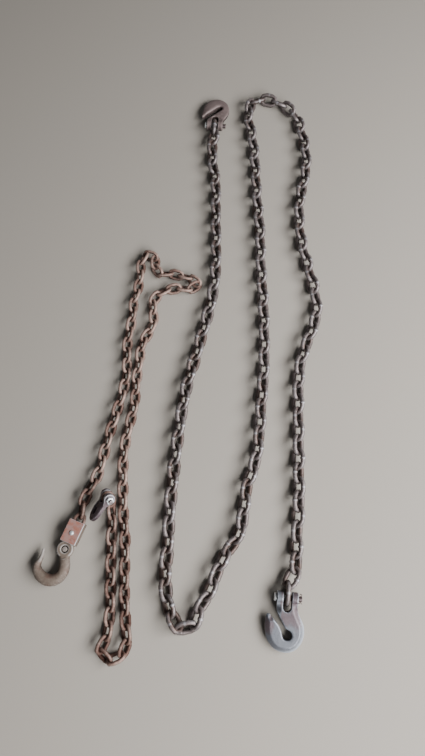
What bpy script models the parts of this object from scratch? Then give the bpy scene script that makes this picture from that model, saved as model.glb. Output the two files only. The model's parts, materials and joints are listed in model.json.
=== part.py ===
"""Two steel chains with their hooks, laid out together on level ground.

The grey log chain runs from its near hook up the right side, over the top, down the middle, round
the bottom and up the left to its far hook. The rusty chain is folded into three runs beside it.
Metres, +Z up, the ground at z = 0, the origin on the ground under the middle of the heap.
"""

import math

import bmesh
import bpy
from mathutils import Matrix, Vector

# Fits
TOUCH = 0.0003  # gap between pieces that rest on or pass through each other
BITE = 0.0012  # depth that neighbouring links share where they bear
SLACK = 0.0026  # how much closer two links lie where one stretch of chain ends

# Grey log chain
LOG_ROD = 0.010
LOG_PITCH = 0.031
LOG_EYE = 0.014
LOG_FIRST = 0.217  # length of the first stretch
LOG_STRETCH = 0.310  # length of each later one
LOG_SIDES = 4

# Rusty chain
RUSTY_ROD = 0.008
RUSTY_PITCH = 0.026
RUSTY_EYE = 0.012
RUSTY_FIRST = 0.234
RUSTY_STRETCH = 0.286
RUSTY_SIDES = 4

# Clevis hooks of the log chain, seen flat, with the pin across them
LOG_HOOK_REACH = 0.100  # pin to the outside of the bowl
LOG_HOOK_WIDTH = 0.078
LOG_HOOK_THICK = 0.018
LOG_THROAT = 0.018
LOG_CLEVIS_WIDTH = 0.042
LOG_EAR_RADIUS = 0.0125
LOG_PIN_RADIUS = 0.0050
LOG_PIN_HEAD = 0.0080
HEAD_THICK = 0.005
COTTER_RADIUS = 0.0013
COTTER_LENGTH = 0.020
SLOT_ROOM = 0.009  # slot left free past the end link

# Clevis hook of the rusty chain
GRAB_HOOK_REACH = 0.059
GRAB_HOOK_WIDTH = 0.040
GRAB_HOOK_THICK = 0.014
GRAB_THROAT = 0.012
GRAB_CLEVIS_WIDTH = 0.034
GRAB_EAR_RADIUS = 0.0115
GRAB_BOLT_RADIUS = 0.0042
GRAB_NUT_RADIUS = 0.0080  # across the corners
GRAB_NUT_THICK = 0.007
GRAB_BOLT_END = 0.006  # thread past the nut

# Eye hook, seen flat about its stud, with the shank leading to -Y and the tip at -X
EYE_HOOK_THICK = 0.022
EYE_RING_RADIUS = 0.017
EYE_RING_HOLE = 0.0075
EYE_RING_THICK = 0.014
EYE_BOWL = (-0.0325, -0.027)
EYE_BOWL_RADIUS = 0.018
EYE_BACK = (-0.030, -0.031)
EYE_BACK_RADIUS = 0.038
EYE_NECK_RIGHT = 0.0095
EYE_NECK_LEFT = -0.013
EYE_TIP = (-0.0435, 0.008)
EYE_TIP_WIDTH = 0.005
EYE_HORN = (-0.052, -0.0145)  # middle of the horn's root, under the tip
EYE_HORN_WIDTH = 0.010
EYE_EDGE = 0.004

# Its coupling to the chain
STUD_RADIUS = 0.0052
POST_RADIUS = 0.0042
COUPLER_WIDTH = 0.033
COUPLER_LENGTH = 0.046
COUPLER_END = 0.0085  # plate past the post
COUPLER_REACH = 0.051  # post to stud
TONGUE_RIM = 0.004  # base plate round the stud
BASE_THICK = 0.0045
COVER_THICK = 0.0055
RIVET_RADIUS = 0.0038
RIVET_HEAD = 0.0062
RIVET_HEAD_THICK = 0.003
RIVET_OFFSET = 0.0025  # how far the rivet sits towards the hook

# The end link rides this much off the round of its pin
PIN_PLAY = 0.0012
CLEVIS_PLAY = 0.0035  # side play of the end link between the ears

# Middle of the heap, which the route points are moved by
MIDDLE = Vector((-0.0520, 0.5470, -0.0004))

# Where each chain runs: x, y and how far it is lifted off its rest
LOG_ROUTE = [
    (0.148, -0.042, 0.0037), (0.151, -0.012, 0.0037), (0.164, 0.006, 0.0032), (0.170, 0.032, 0.0016),
    (0.173, 0.085, 0), (0.181, 0.146, 0), (0.184, 0.220, 0), (0.188, 0.308, 0),
    (0.192, 0.400, 0), (0.199, 0.460, 0), (0.215, 0.508, 0), (0.237, 0.561, 0),
    (0.247, 0.605, 0), (0.243, 0.655, 0), (0.232, 0.718, 0), (0.221, 0.778, 0),
    (0.217, 0.845, 0), (0.223, 0.917, 0), (0.239, 0.982, 0), (0.246, 1.048, 0),
    (0.239, 1.121, 0), (0.225, 1.180, 0), (0.196, 1.217, 0), (0.147, 1.240, 0),
    (0.108, 1.228, 0), (0.096, 1.185, 0), (0.104, 1.120, 0), (0.110, 1.050, 0),
    (0.113, 0.911, 0), (0.118, 0.821, 0), (0.117, 0.735, 0), (0.120, 0.613, 0),
    (0.120, 0.535, 0), (0.116, 0.445, 0), (0.107, 0.358, 0), (0.102, 0.301, 0),
    (0.092, 0.238, 0), (0.073, 0.188, 0), (0.065, 0.136, 0), (0.056, 0.088, 0),
    (0.032, 0.056, 0), (0.011, 0.020, 0), (-0.006, -0.024, 0), (-0.030, -0.062, 0),
    (-0.040, -0.094, 0), (-0.060, -0.100, 0), (-0.079, -0.074, 0), (-0.092, -0.035, 0),
    (-0.096, 0.015, 0), (-0.091, 0.069, 0), (-0.091, 0.121, 0), (-0.086, 0.188, 0),
    (-0.079, 0.263, 0), (-0.069, 0.345, 0), (-0.057, 0.416, 0), (-0.041, 0.473, 0),
    (-0.020, 0.555, 0), (-0.001, 0.634, 0), (0.008, 0.720, 0), (0.008, 0.836, 0),
    (0.008, 0.960, 0), (0.001, 1.015, 0), (-0.002, 1.058, 0.0008), (0.001, 1.090, 0.0032),
    (0.004, 1.118, 0.0042), (0.006, 1.142, 0.0037), (0.008, 1.172, 0.0037),
]
RUSTY_ROUTE = [
    (-0.2840, 0.0992, 0.0008), (-0.2741, 0.1230, 0.0009), (-0.2729, 0.149, 0.0009), (-0.2631, 0.176, 0),
    (-0.247, 0.205, 0), (-0.239, 0.238, 0), (-0.231, 0.278, 0), (-0.220, 0.325, 0),
    (-0.208, 0.370, 0), (-0.199, 0.410, 0), (-0.195, 0.455, 0), (-0.198, 0.500, 0),
    (-0.194, 0.545, 0), (-0.188, 0.588, 0), (-0.188, 0.622, 0), (-0.178, 0.660, 0),
    (-0.175, 0.700, 0), (-0.174, 0.730, 0), (-0.160, 0.755, 0), (-0.139, 0.752, 0),
    (-0.142, 0.724, 0), (-0.133, 0.697, 0), (-0.105, 0.699, 0), (-0.075, 0.692, 0),
    (-0.046, 0.683, 0), (-0.033, 0.668, 0), (-0.050, 0.655, 0), (-0.080, 0.659, 0),
    (-0.107, 0.655, 0), (-0.132, 0.640, 0), (-0.145, 0.616, 0), (-0.138, 0.588, 0),
    (-0.141, 0.556, 0), (-0.157, 0.530, 0), (-0.166, 0.500, 0), (-0.168, 0.465, 0),
    (-0.173, 0.425, 0), (-0.173, 0.385, 0), (-0.178, 0.345, 0), (-0.188, 0.298, 0),
    (-0.193, 0.250, 0), (-0.191, 0.190, 0), (-0.187, 0.130, 0), (-0.180, 0.068, 0),
    (-0.178, 0.000, 0), (-0.173, -0.071, 0), (-0.167, -0.110, 0), (-0.170, -0.136, 0),
    (-0.198, -0.149, 0), (-0.219, -0.156, 0), (-0.220, -0.136, 0), (-0.207, -0.106, 0),
    (-0.203, -0.060, 0), (-0.206, 0.000, 0), (-0.208, 0.065, 0), (-0.2090, 0.110, 0),
    (-0.2105, 0.140, 0.010), (-0.2202, 0.1713, 0.0362),
]

# How each end link is turned about its chain: 0 lies flat, 90 stands on edge
LOG_END_ROLLS = (90, 90)
RUSTY_END_ROLLS = (0, 12)
MOST_STRETCHES = 100  # more than either route has room for
TWIST_LINKS = 1.5  # links over which an end's turn fades into the usual 45 degrees

# How far the rusty chain's clevis hook is folded back from the line of its end link
GRAB_FOLD = math.radians(125)
# How far the eye hook is turned about its stud from the line of its coupling
EYE_HOOK_TURN = math.radians(29.4)

STEEL = (0.20, 0.17, 0.155)
RUST = (0.36, 0.20, 0.13)
DARK_STEEL = (0.16, 0.155, 0.165)
BROWN_STEEL = (0.21, 0.155, 0.145)
PRIMER = (0.40, 0.16, 0.12)
ZINC = (0.62, 0.66, 0.68)


def clear_scene():
    for item in list(bpy.data.objects):
        bpy.data.objects.remove(item, do_unlink=True)


def new_collection(name):
    collection = bpy.data.collections.new(name)
    bpy.context.scene.collection.children.link(collection)
    return collection


def material(name, colour, roughness, metallic):
    made = bpy.data.materials.new(name)
    made.use_nodes = True
    shader = made.node_tree.nodes["Principled BSDF"]
    shader.inputs["Base Color"].default_value = (*colour, 1.0)
    shader.inputs["Roughness"].default_value = roughness
    shader.inputs["Metallic"].default_value = metallic
    made.diffuse_color = (*colour, 1.0)
    return made


def new_object(name, mesh, collection, finish=None, matrix=None):
    item = bpy.data.objects.new(name, mesh)
    collection.objects.link(item)
    if finish:
        mesh.materials.append(finish)
    if matrix:
        item.matrix_world = matrix
    return item


def mesh_from(bm, name):
    mesh = bpy.data.meshes.new(name)
    bmesh.ops.recalc_face_normals(bm, faces=bm.faces)
    bm.to_mesh(mesh)
    bm.free()
    return mesh


def boolean(item, operand, operation):
    """Joins operand to item, or cuts it away, and keeps operand as a hidden guide."""
    modifier = item.modifiers.new(operation.lower(), "BOOLEAN")
    modifier.object = operand
    modifier.operation = operation
    operand.hide_render = True
    operand.display_type = "WIRE"


def rounded(item, width, angle=50):
    modifier = item.modifiers.new("edges", "BEVEL")
    modifier.width = width
    modifier.segments = 1
    modifier.limit_method = "ANGLE"
    modifier.angle_limit = math.radians(angle)


def cylinder(name, radius, length, centre, axis, collection, sides=12, finish=None):
    bm = bmesh.new()
    turn = Vector((0, 0, 1)).rotation_difference(Vector(axis)).to_matrix().to_4x4()
    bmesh.ops.create_cone(
        bm, cap_ends=True, segments=sides, radius1=radius, radius2=radius, depth=length,
        matrix=Matrix.Translation(centre) @ turn)
    return new_object(name, mesh_from(bm, name), collection, finish)


def box(name, low, high, collection, finish=None):
    bm = bmesh.new()
    bmesh.ops.create_cube(bm, size=1.0)
    bmesh.ops.scale(bm, verts=bm.verts, vec=Vector(high) - Vector(low))
    bmesh.ops.translate(bm, verts=bm.verts, vec=(Vector(high) + Vector(low)) / 2)
    return new_object(name, mesh_from(bm, name), collection, finish)


def plate(name, outline, thick, collection, finish=None, middle=0.0):
    """A flat closed outline, filled and given its thickness, as one closed mesh."""
    curve = bpy.data.curves.new(name, "CURVE")
    curve.dimensions = "2D"
    curve.fill_mode = "BOTH"
    curve.extrude = thick / 2
    spline = curve.splines.new("POLY")
    spline.points.add(len(outline) - 1)
    for point, (x, y) in zip(spline.points, outline):
        point.co = (x, y, 0, 1)
    spline.use_cyclic_u = True
    drawn = bpy.data.objects.new(name + "_outline", curve)
    collection.objects.link(drawn)
    solid = bpy.data.meshes.new_from_object(drawn.evaluated_get(bpy.context.evaluated_depsgraph_get()))
    bpy.data.objects.remove(drawn, do_unlink=True)
    bm = bmesh.new()
    bm.from_mesh(solid)
    bmesh.ops.remove_doubles(bm, verts=bm.verts, dist=0.00001)
    bmesh.ops.dissolve_limit(bm, angle_limit=0.01, verts=bm.verts, edges=bm.edges)
    bmesh.ops.translate(bm, verts=bm.verts, vec=(0, 0, middle))
    return new_object(name, mesh_from(bm, name), collection, finish)


def arc(centre, radius, start, stop, steps):
    """Points of an arc from start to stop, in degrees."""
    points = []
    for step in range(steps + 1):
        angle = math.radians(start + (stop - start) * step / steps)
        points.append((centre[0] + radius * math.cos(angle), centre[1] + radius * math.sin(angle)))
    return points


def section(rod, sides):
    """Corner radius and flat radius of a polygon with the area of the round bar."""
    corner = rod / 2 * math.sqrt(2 * math.pi / (sides * math.sin(2 * math.pi / sides)))
    return corner, corner * math.cos(math.pi / sides)


def link_mesh(name, rod, pitch, eye, sides):
    """One link, long in X and flat in XY, swept round eight corners with a flat side inwards."""
    corner, flat = section(rod, sides)
    crown = pitch / 2 - BITE / 2 + flat
    side = eye / 2 + flat
    shoulder = pitch / 2 - eye / 2
    quarter = [Vector((shoulder + 0.3 * side, side)), Vector((crown, 0.6 * side))]
    path = quarter + [Vector((p.x, -p.y)) for p in reversed(quarter)]
    path += [Vector((-p.x, p.y)) for p in reversed(path)]
    bm = bmesh.new()
    rings = []
    for index, here in enumerate(path):
        into = (here - path[index - 1]).normalized()
        out = (path[(index + 1) % len(path)] - here).normalized()
        along = (into + out).normalized()
        mitre = 1 / along.dot(out)
        inward = Vector((along.y, -along.x)) * mitre
        frame = Matrix((
            (inward.x, 0, along.x, here.x), (inward.y, 0, along.y, here.y), (0, 1, 0, 0), (0, 0, 0, 1)))
        half_turn = Matrix.Rotation(math.pi / sides, 4, "Z")
        circle = bmesh.ops.create_circle(bm, segments=sides, radius=corner, matrix=frame @ half_turn)
        ring = set(circle["verts"])
        rings.append([edge for edge in bm.edges if set(edge.verts) <= ring])
    for index, ring in enumerate(rings):
        bmesh.ops.bridge_loops(bm, edges=rings[index - 1] + ring)
    return mesh_from(bm, name)


def smooth_route(points, rest, steps=10):
    """A smooth curve through the route's points, as a fine run of points."""
    spots = [Vector((x, y, rest + lift)) - MIDDLE for x, y, lift in points]
    spots = [2 * spots[0] - spots[1]] + spots + [2 * spots[-1] - spots[-2]]
    fine = []
    for before, start, stop, after in zip(spots, spots[1:], spots[2:], spots[3:]):
        for step in range(steps):
            t = step / steps
            leave = (stop - before) / 2
            arrive = (after - start) / 2
            fine.append(
                start * (2 * t**3 - 3 * t**2 + 1) + leave * (t**3 - 2 * t**2 + t)
                + stop * (3 * t**2 - 2 * t**3) + arrive * (t**3 - t**2))
    fine.append(spots[-2])
    return fine


def step_along(fine, place, start, reach):
    """The next place on the curve at a straight distance of reach from start."""
    index, _ = place
    while index < len(fine) - 1:
        low, high = fine[index], fine[index + 1]
        if (high - start).length >= reach:
            near = 0.0 if place[0] != index else place[1]
            far = 1.0
            for _ in range(30):
                middle = (near + far) / 2
                if (low.lerp(high, middle) - start).length < reach:
                    near = middle
                else:
                    far = middle
            return (index, far), low.lerp(high, far)
        index += 1
    return None, None


def stretch_starts(pitch, first, stretch):
    """Which links begin a stretch of chain, nearest to every stretch's length along it."""
    return [0] + [round((first + count * stretch) / pitch) for count in range(MOST_STRETCHES)]


def lay_links(route, rest, pitch, starts, end_rolls):
    """Frames of the links along a route, each link long in X and flat in XY."""
    fine = smooth_route(route, rest)
    place, start = (0, 0.0), fine[0]
    spans = []
    while True:
        tight = pitch - (SLACK if len(spans) + 1 in starts else 0)
        ahead, stop = step_along(fine, place, start, pitch)
        if ahead is None:
            break
        spans.append((start.copy(), stop.copy()))
        axis = (stop - start).normalized()
        start = start + axis * tight
        place = ahead
    frames = []
    last = len(spans) - 1
    first_turn = end_rolls[0] - 45
    last_turn = (end_rolls[1] - 45 - 90 * last + 90) % 180 - 90
    for index, (start, stop) in enumerate(spans):
        turn = first_turn * max(0, 1 - index / TWIST_LINKS)
        turn += last_turn * max(0, 1 - (last - index) / TWIST_LINKS)
        roll = math.radians(45 + 90 * index + turn)
        along = (stop - start).normalized()
        across = Vector((0, 0, 1)).cross(along).normalized()
        up = along.cross(across)
        normal = up * math.cos(roll) - across * math.sin(roll)
        side = normal.cross(along)
        centre = (start + stop) / 2
        frames.append(Matrix((
            (along.x, side.x, normal.x, centre.x), (along.y, side.y, normal.y, centre.y),
            (along.z, side.z, normal.z, centre.z), (0, 0, 0, 1))))
    return frames


def joined_links(name, link, frames, collection, finish=None):
    bm = bmesh.new()
    for frame in frames:
        known = set(bm.verts)
        bm.from_mesh(link)
        bmesh.ops.transform(bm, matrix=frame, verts=[v for v in bm.verts if v not in known])
    return new_object(name, mesh_from(bm, name), collection, finish)


def outer_shell(mesh):
    """Fills the small pockets shut in between two links that bear on each other."""
    bm = bmesh.new()
    bm.from_mesh(mesh)
    left = set(bm.faces)
    shells = []
    while left:
        edge_of_search = [left.pop()]
        shell = list(edge_of_search)
        while edge_of_search:
            for edge in edge_of_search.pop().edges:
                fresh = [face for face in edge.link_faces if face in left]
                left.difference_update(fresh)
                edge_of_search += fresh
                shell += fresh
        shells.append(shell)
    shells.sort(key=len)
    inner = [face for shell in shells[:-1] for face in shell]
    bmesh.ops.delete(bm, geom=inner, context="FACES")
    bm.to_mesh(mesh)
    bm.free()
    return mesh


def build_chain(name, link, frames, starts, parts, guides, finish):
    """The chain as stretches of links: every other link, with those between them joined on."""
    starts = [start for start in starts if start < len(frames)]
    for number, (first, end) in enumerate(zip(starts, starts[1:] + [len(frames)]), start=1):
        run = frames[first:end]
        node = joined_links(f"{name}_{number:02d}", link, run[0::2], parts, finish)
        if len(run) > 1:
            between = joined_links(f"{name}_{number:02d}_between", link, run[1::2], guides)
            boolean(node, between, "UNION")
            graph = bpy.context.evaluated_depsgraph_get()
            joined = bpy.data.meshes.new_from_object(node.evaluated_get(graph))
            node.modifiers.clear()
            node.data = outer_shell(joined)


def end_frame(link_frame, pitch, pin_radius, at_start, face_up, drop=0.0):
    """Frame of a hook on an end link: its pin along X, and -Y leading away from the chain.

    Its +Z face is turned up or down, and drop lowers the hook about the pin.
    """
    along = link_frame.col[0].xyz * (1 if at_start else -1)
    pin_axis = link_frame.col[2].xyz
    if (pin_axis.cross(along).z > 0) != face_up:
        pin_axis = -pin_axis
    seat = link_frame.translation - along * (pitch / 2 - pin_radius - PIN_PLAY)
    along = Matrix.Rotation(drop if face_up else -drop, 3, pin_axis) @ along
    normal = pin_axis.cross(along)
    return Matrix((
        (pin_axis.x, along.x, normal.x, seat.x), (pin_axis.y, along.y, normal.y, seat.y),
        (pin_axis.z, along.z, normal.z, seat.z), (0, 0, 0, 1)))


def hook_outline(reach, width, clevis, throat):
    """Outline of a clevis hook from the left ear round the bowl, with the tip at -X."""
    half = clevis / 2
    bowl = (-0.064 * width, -reach + width / 2)
    hole = (-0.026 * width, bowl[1])
    inner = throat * 0.62
    outer = width / 2
    tip_y = -0.34 * reach
    points = [(half, 0.0), (-half, 0.0), (-half, -0.23 * reach)]
    points += [(hole[0] - 0.1 * throat, hole[1] + inner * 1.3)]
    points += arc(hole, inner, 50, -190, 7)
    points += [
        (bowl[0] - outer + 0.154 * width, tip_y - 0.03 * reach), (bowl[0] - outer + 0.051 * width, tip_y)]
    points += arc(bowl, outer, 170, 370, 10)
    points += [(half + 0.026 * width, -0.36 * reach), (half, -0.23 * reach)]
    return points


def clevis_hook(name, frame, reach, width, thick, clevis, ear, pin, rod, throat, parts, guides, finish):
    """A forged hook with two ears, its slot rounded in plan, and the pin's hole through both ears."""
    hook = plate(name, hook_outline(reach, width, clevis, throat), thick, parts, finish)
    rounded(hook, thick * 0.2)
    barrel = cylinder(name + "_ears", ear, clevis, (0, 0, 0), (1, 0, 0), guides, 16)
    boolean(hook, barrel, "UNION")
    gap = rod / 2 + CLEVIS_PLAY
    depth = pin + PIN_PLAY + rod + SLOT_ROOM
    slot = box(name + "_slot", (-gap, gap - depth, -reach), (gap, reach, reach), guides)
    boolean(hook, slot, "DIFFERENCE")
    slot_end = cylinder(name + "_slot_end", gap, 2 * reach, (0, gap - depth, 0), (0, 0, 1), guides, 16)
    boolean(hook, slot_end, "DIFFERENCE")
    hole = cylinder(name + "_hole", pin + TOUCH, 2 * clevis, (0, 0, 0), (1, 0, 0), guides)
    boolean(hook, hole, "DIFFERENCE")
    for item in (hook, barrel, slot, slot_end, hole):
        item.matrix_world = frame
    return hook


def clevis_pin(name, frame, clevis, radius, head, cotter, parts, guides, finish):
    """A headed pin on the hook's left, with the hole for its split pin on the right."""
    half = clevis / 2
    tail = 2 * radius
    root = TOUCH + HEAD_THICK / 2
    pin = cylinder(
        name, radius, clevis + root + tail, ((tail - root) / 2, 0, 0), (1, 0, 0), parts, 12, finish)
    cap = cylinder(
        name + "_head", head, HEAD_THICK, (-half - TOUCH - HEAD_THICK / 2, 0, 0), (1, 0, 0), guides)
    boolean(pin, cap, "UNION")
    out = half + radius
    hole = cylinder(name + "_hole", COTTER_RADIUS + TOUCH, 4 * radius, (out, 0, 0), (0, 1, 0), guides, 8)
    boolean(pin, hole, "DIFFERENCE")
    split = cylinder(cotter, COTTER_RADIUS, COTTER_LENGTH, (out, 0, 0), (0, 1, 0), parts, 8, finish)
    for item in (pin, cap, hole, split):
        item.matrix_world = frame


def log_hooks(frames, parts, guides, finishes):
    """The log chain's two hooks, each dropped about its pin until the bowl rests on the ground."""
    for where, link, near, finish in (
            ("near", frames[0], True, finishes["dark"]), ("far", frames[-1], False, finishes["brown"])):
        level = end_frame(link, LOG_PITCH, LOG_PIN_RADIUS, near, near)
        drop = math.asin((level.translation.z - LOG_HOOK_THICK / 2) / LOG_HOOK_REACH)
        drop -= math.asin(level.col[1].z)
        frame = end_frame(link, LOG_PITCH, LOG_PIN_RADIUS, near, near, drop)
        clevis_hook(
            f"log_hook_{where}", frame, LOG_HOOK_REACH, LOG_HOOK_WIDTH, LOG_HOOK_THICK,
            LOG_CLEVIS_WIDTH, LOG_EAR_RADIUS, LOG_PIN_RADIUS, LOG_ROD, LOG_THROAT, parts, guides, finish)
        clevis_pin(
            f"log_pin_{where}", frame, LOG_CLEVIS_WIDTH, LOG_PIN_RADIUS, LOG_PIN_HEAD,
            f"log_cotter_{where}", parts, guides, finishes["steel"])


def grab_hook(frames, parts, guides, finishes):
    """The rusty chain's clevis hook, folded back beside its chain, with its bolt and nut."""
    frame = end_frame(frames[-1], RUSTY_PITCH, GRAB_BOLT_RADIUS, False, False, -GRAB_FOLD)
    clevis_hook(
        "grab_hook", frame, GRAB_HOOK_REACH, GRAB_HOOK_WIDTH, GRAB_HOOK_THICK, GRAB_CLEVIS_WIDTH,
        GRAB_EAR_RADIUS, GRAB_BOLT_RADIUS, RUSTY_ROD, GRAB_THROAT, parts, guides, finishes["dark"])
    half = GRAB_CLEVIS_WIDTH / 2
    root = TOUCH + HEAD_THICK / 2
    shank = GRAB_CLEVIS_WIDTH + root + GRAB_NUT_THICK + GRAB_BOLT_END
    bolt = cylinder(
        "grab_bolt", GRAB_BOLT_RADIUS, shank, (shank / 2 - half - root, 0, 0), (1, 0, 0), parts, 12,
        finishes["steel"])
    head = cylinder(
        "grab_bolt_head", GRAB_NUT_RADIUS, HEAD_THICK, (-half - TOUCH - HEAD_THICK / 2, 0, 0),
        (1, 0, 0), guides, 6)
    boolean(bolt, head, "UNION")
    nut_middle = half + TOUCH + GRAB_NUT_THICK / 2
    nut = cylinder(
        "grab_nut", GRAB_NUT_RADIUS, GRAB_NUT_THICK, (nut_middle, 0, 0), (1, 0, 0), parts, 6,
        finishes["zinc"])
    thread = cylinder(
        "grab_nut_thread", GRAB_BOLT_RADIUS + TOUCH, 2 * GRAB_NUT_THICK, (nut_middle, 0, 0),
        (1, 0, 0), guides)
    boolean(nut, thread, "DIFFERENCE")
    for item in (bolt, head, nut, thread):
        item.matrix_world = frame


def coupler_frame(link_frame):
    """Frame of the coupling: its post along Z in the end link, and -Y towards the hook."""
    along = link_frame.col[0].xyz
    normal = link_frame.col[2].xyz
    side = along.cross(normal)
    seat = link_frame.translation - along * (RUSTY_PITCH / 2 - POST_RADIUS - PIN_PLAY)
    return Matrix((
        (side.x, along.x, normal.x, seat.x), (side.y, along.y, normal.y, seat.y),
        (side.z, along.z, normal.z, seat.z), (0, 0, 0, 1)))


def coupler(frame, parts, guides, finishes):
    """Two plates held by one rivet: the base has the post and the stud, the cover lies on top."""
    gap = EYE_RING_THICK / 2 + TOUCH
    half = COUPLER_WIDTH / 2
    low = COUPLER_END - COUPLER_LENGTH
    tongue = STUD_RADIUS + TONGUE_RIM
    outline = [(half, COUPLER_END), (-half, COUPLER_END), (-half, low), (-tongue, low - TONGUE_RIM)]
    outline += arc((0, -COUPLER_REACH), tongue, 180, 360, 6)
    outline += [(tongue, low - TONGUE_RIM), (half, low)]
    base = plate("coupler_base", outline, BASE_THICK, parts, finishes["rust"], -gap - BASE_THICK / 2)
    upright = 2 * gap + BASE_THICK / 2 - TOUCH
    stud = cylinder(
        "coupler_stud", STUD_RADIUS, upright, (0, -COUPLER_REACH, -gap - BASE_THICK / 2 + upright / 2),
        (0, 0, 1), guides)
    boolean(base, stud, "UNION")
    post = cylinder(
        "coupler_post", POST_RADIUS, upright, (0, 0, -gap - BASE_THICK / 2 + upright / 2), (0, 0, 1),
        guides)
    boolean(base, post, "UNION")
    cover = box(
        "coupler_cover", (-half, low, gap), (half, COUPLER_END, gap + COVER_THICK), parts,
        finishes["primer"])
    rivet_y = COUPLER_END - COUPLER_LENGTH / 2 - RIVET_OFFSET
    hole = cylinder(
        "coupler_rivet_hole", RIVET_RADIUS + TOUCH, 4 * upright, (0, rivet_y, 0), (0, 0, 1), guides)
    boolean(base, hole, "DIFFERENCE")
    boolean(cover, hole, "DIFFERENCE")
    length = 2 * gap + BASE_THICK + COVER_THICK + TOUCH
    rivet = cylinder(
        "coupler_rivet", RIVET_RADIUS, length, (0, rivet_y, (COVER_THICK - BASE_THICK + TOUCH) / 2),
        (0, 0, 1), parts, 12, finishes["zinc"])
    bm = bmesh.new()
    bmesh.ops.create_cone(
        bm, cap_ends=True, segments=12, radius1=RIVET_HEAD, radius2=RIVET_HEAD / 2, depth=RIVET_HEAD_THICK,
        matrix=Matrix.Translation((0, rivet_y, gap + COVER_THICK + TOUCH + RIVET_HEAD_THICK / 2)))
    head = new_object("coupler_rivet_head", mesh_from(bm, "coupler_rivet_head"), guides)
    boolean(rivet, head, "UNION")
    for item in (base, stud, post, cover, hole, rivet, head):
        item.matrix_world = frame


def eye_hook(frame, parts, guides, finish):
    """A hook with a thick round bowl, whose eye turns on the coupling's stud."""
    neck = -0.7 * EYE_RING_RADIUS
    tip, horn = EYE_TIP_WIDTH / 2, EYE_HORN_WIDTH / 2
    outline = [(EYE_NECK_RIGHT, neck), (EYE_NECK_LEFT, neck)]
    outline += arc(EYE_BOWL, EYE_BOWL_RADIUS, 25, -212, 10)
    outline += [(EYE_HORN[0] + horn, EYE_HORN[1]), (EYE_TIP[0] + tip, EYE_TIP[1])]
    outline += [(EYE_TIP[0] - tip, EYE_TIP[1]), (EYE_HORN[0] - horn, EYE_HORN[1])]
    outline += arc(EYE_BACK, EYE_BACK_RADIUS, 166, 370, 12)
    hook = plate("eye_hook", outline, EYE_HOOK_THICK, parts, finish)
    rounded(hook, EYE_EDGE)
    step = EYE_RING_THICK / 2
    reach = 1.5 * EYE_RING_RADIUS
    clear = box(
        "eye_hook_step", (-reach, -EYE_RING_RADIUS, step), (reach, reach, EYE_HOOK_THICK), guides)
    boolean(hook, clear, "DIFFERENCE")
    clear_low = box(
        "eye_hook_low_step", (-reach, -EYE_RING_RADIUS, -EYE_HOOK_THICK), (reach, reach, -step), guides)
    boolean(hook, clear_low, "DIFFERENCE")
    ring = cylinder(
        "eye_hook_ring", EYE_RING_RADIUS, EYE_RING_THICK - TOUCH, (0, 0, 0), (0, 0, 1), guides, 24)
    boolean(hook, ring, "UNION")
    hole = cylinder("eye_hook_hole", EYE_RING_HOLE, 2 * EYE_HOOK_THICK, (0, 0, 0), (0, 0, 1), guides, 16)
    boolean(hook, hole, "DIFFERENCE")
    here = frame @ Matrix.Translation((0, -COUPLER_REACH, 0)) @ Matrix.Rotation(EYE_HOOK_TURN, 4, "Z")
    for item in (hook, clear, clear_low, ring, hole):
        item.matrix_world = here


def main():
    clear_scene()
    parts = new_collection("steel_chain_heap")
    guides = new_collection("guides")
    finishes = {
        "steel": material("weathered_steel", STEEL, 0.6, 0.7),
        "rust": material("rusted_steel", RUST, 0.85, 0.2),
        "dark": material("forged_steel", DARK_STEEL, 0.5, 0.8),
        "brown": material("brown_forged_steel", BROWN_STEEL, 0.6, 0.6),
        "primer": material("red_primer", PRIMER, 0.75, 0.0),
        "zinc": material("zinc_plate", ZINC, 0.35, 0.9),
    }
    tilt = math.sin(math.radians(45))
    log_rest = (LOG_EYE + LOG_ROD) / 2 * tilt + section(LOG_ROD, LOG_SIDES)[0]
    log_link = link_mesh("log_link", LOG_ROD, LOG_PITCH, LOG_EYE, LOG_SIDES)
    log_starts = stretch_starts(LOG_PITCH, LOG_FIRST, LOG_STRETCH)
    log_frames = lay_links(LOG_ROUTE, log_rest, LOG_PITCH, log_starts, LOG_END_ROLLS)
    build_chain("log_chain", log_link, log_frames, log_starts, parts, guides, finishes["steel"])
    log_hooks(log_frames, parts, guides, finishes)
    rusty_rest = (RUSTY_EYE + RUSTY_ROD) / 2 * tilt + section(RUSTY_ROD, RUSTY_SIDES)[0]
    rusty_link = link_mesh("rusty_link", RUSTY_ROD, RUSTY_PITCH, RUSTY_EYE, RUSTY_SIDES)
    rusty_starts = stretch_starts(RUSTY_PITCH, RUSTY_FIRST, RUSTY_STRETCH)
    rusty_frames = lay_links(RUSTY_ROUTE, rusty_rest, RUSTY_PITCH, rusty_starts, RUSTY_END_ROLLS)
    build_chain(
        "rusty_chain", rusty_link, rusty_frames, rusty_starts, parts, guides, finishes["rust"])
    grab_hook(rusty_frames, parts, guides, finishes)
    couple = coupler_frame(rusty_frames[0])
    coupler(couple, parts, guides, finishes)
    eye_hook(couple, parts, guides, finishes["rust"])


main()
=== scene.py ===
"""Looks for the heap of steel chain, laid out as an add-on.

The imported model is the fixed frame. The pieces made here stand for its nodes: every link of the two
chains, the three clevis hooks with their pins, the eye hook and its coupling. The stage round them is
a floor, two lamps and the camera. Metres, +Z up, the floor at z = 0. Places are worked out as the
part's source does, from the same routes.
"""

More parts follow.
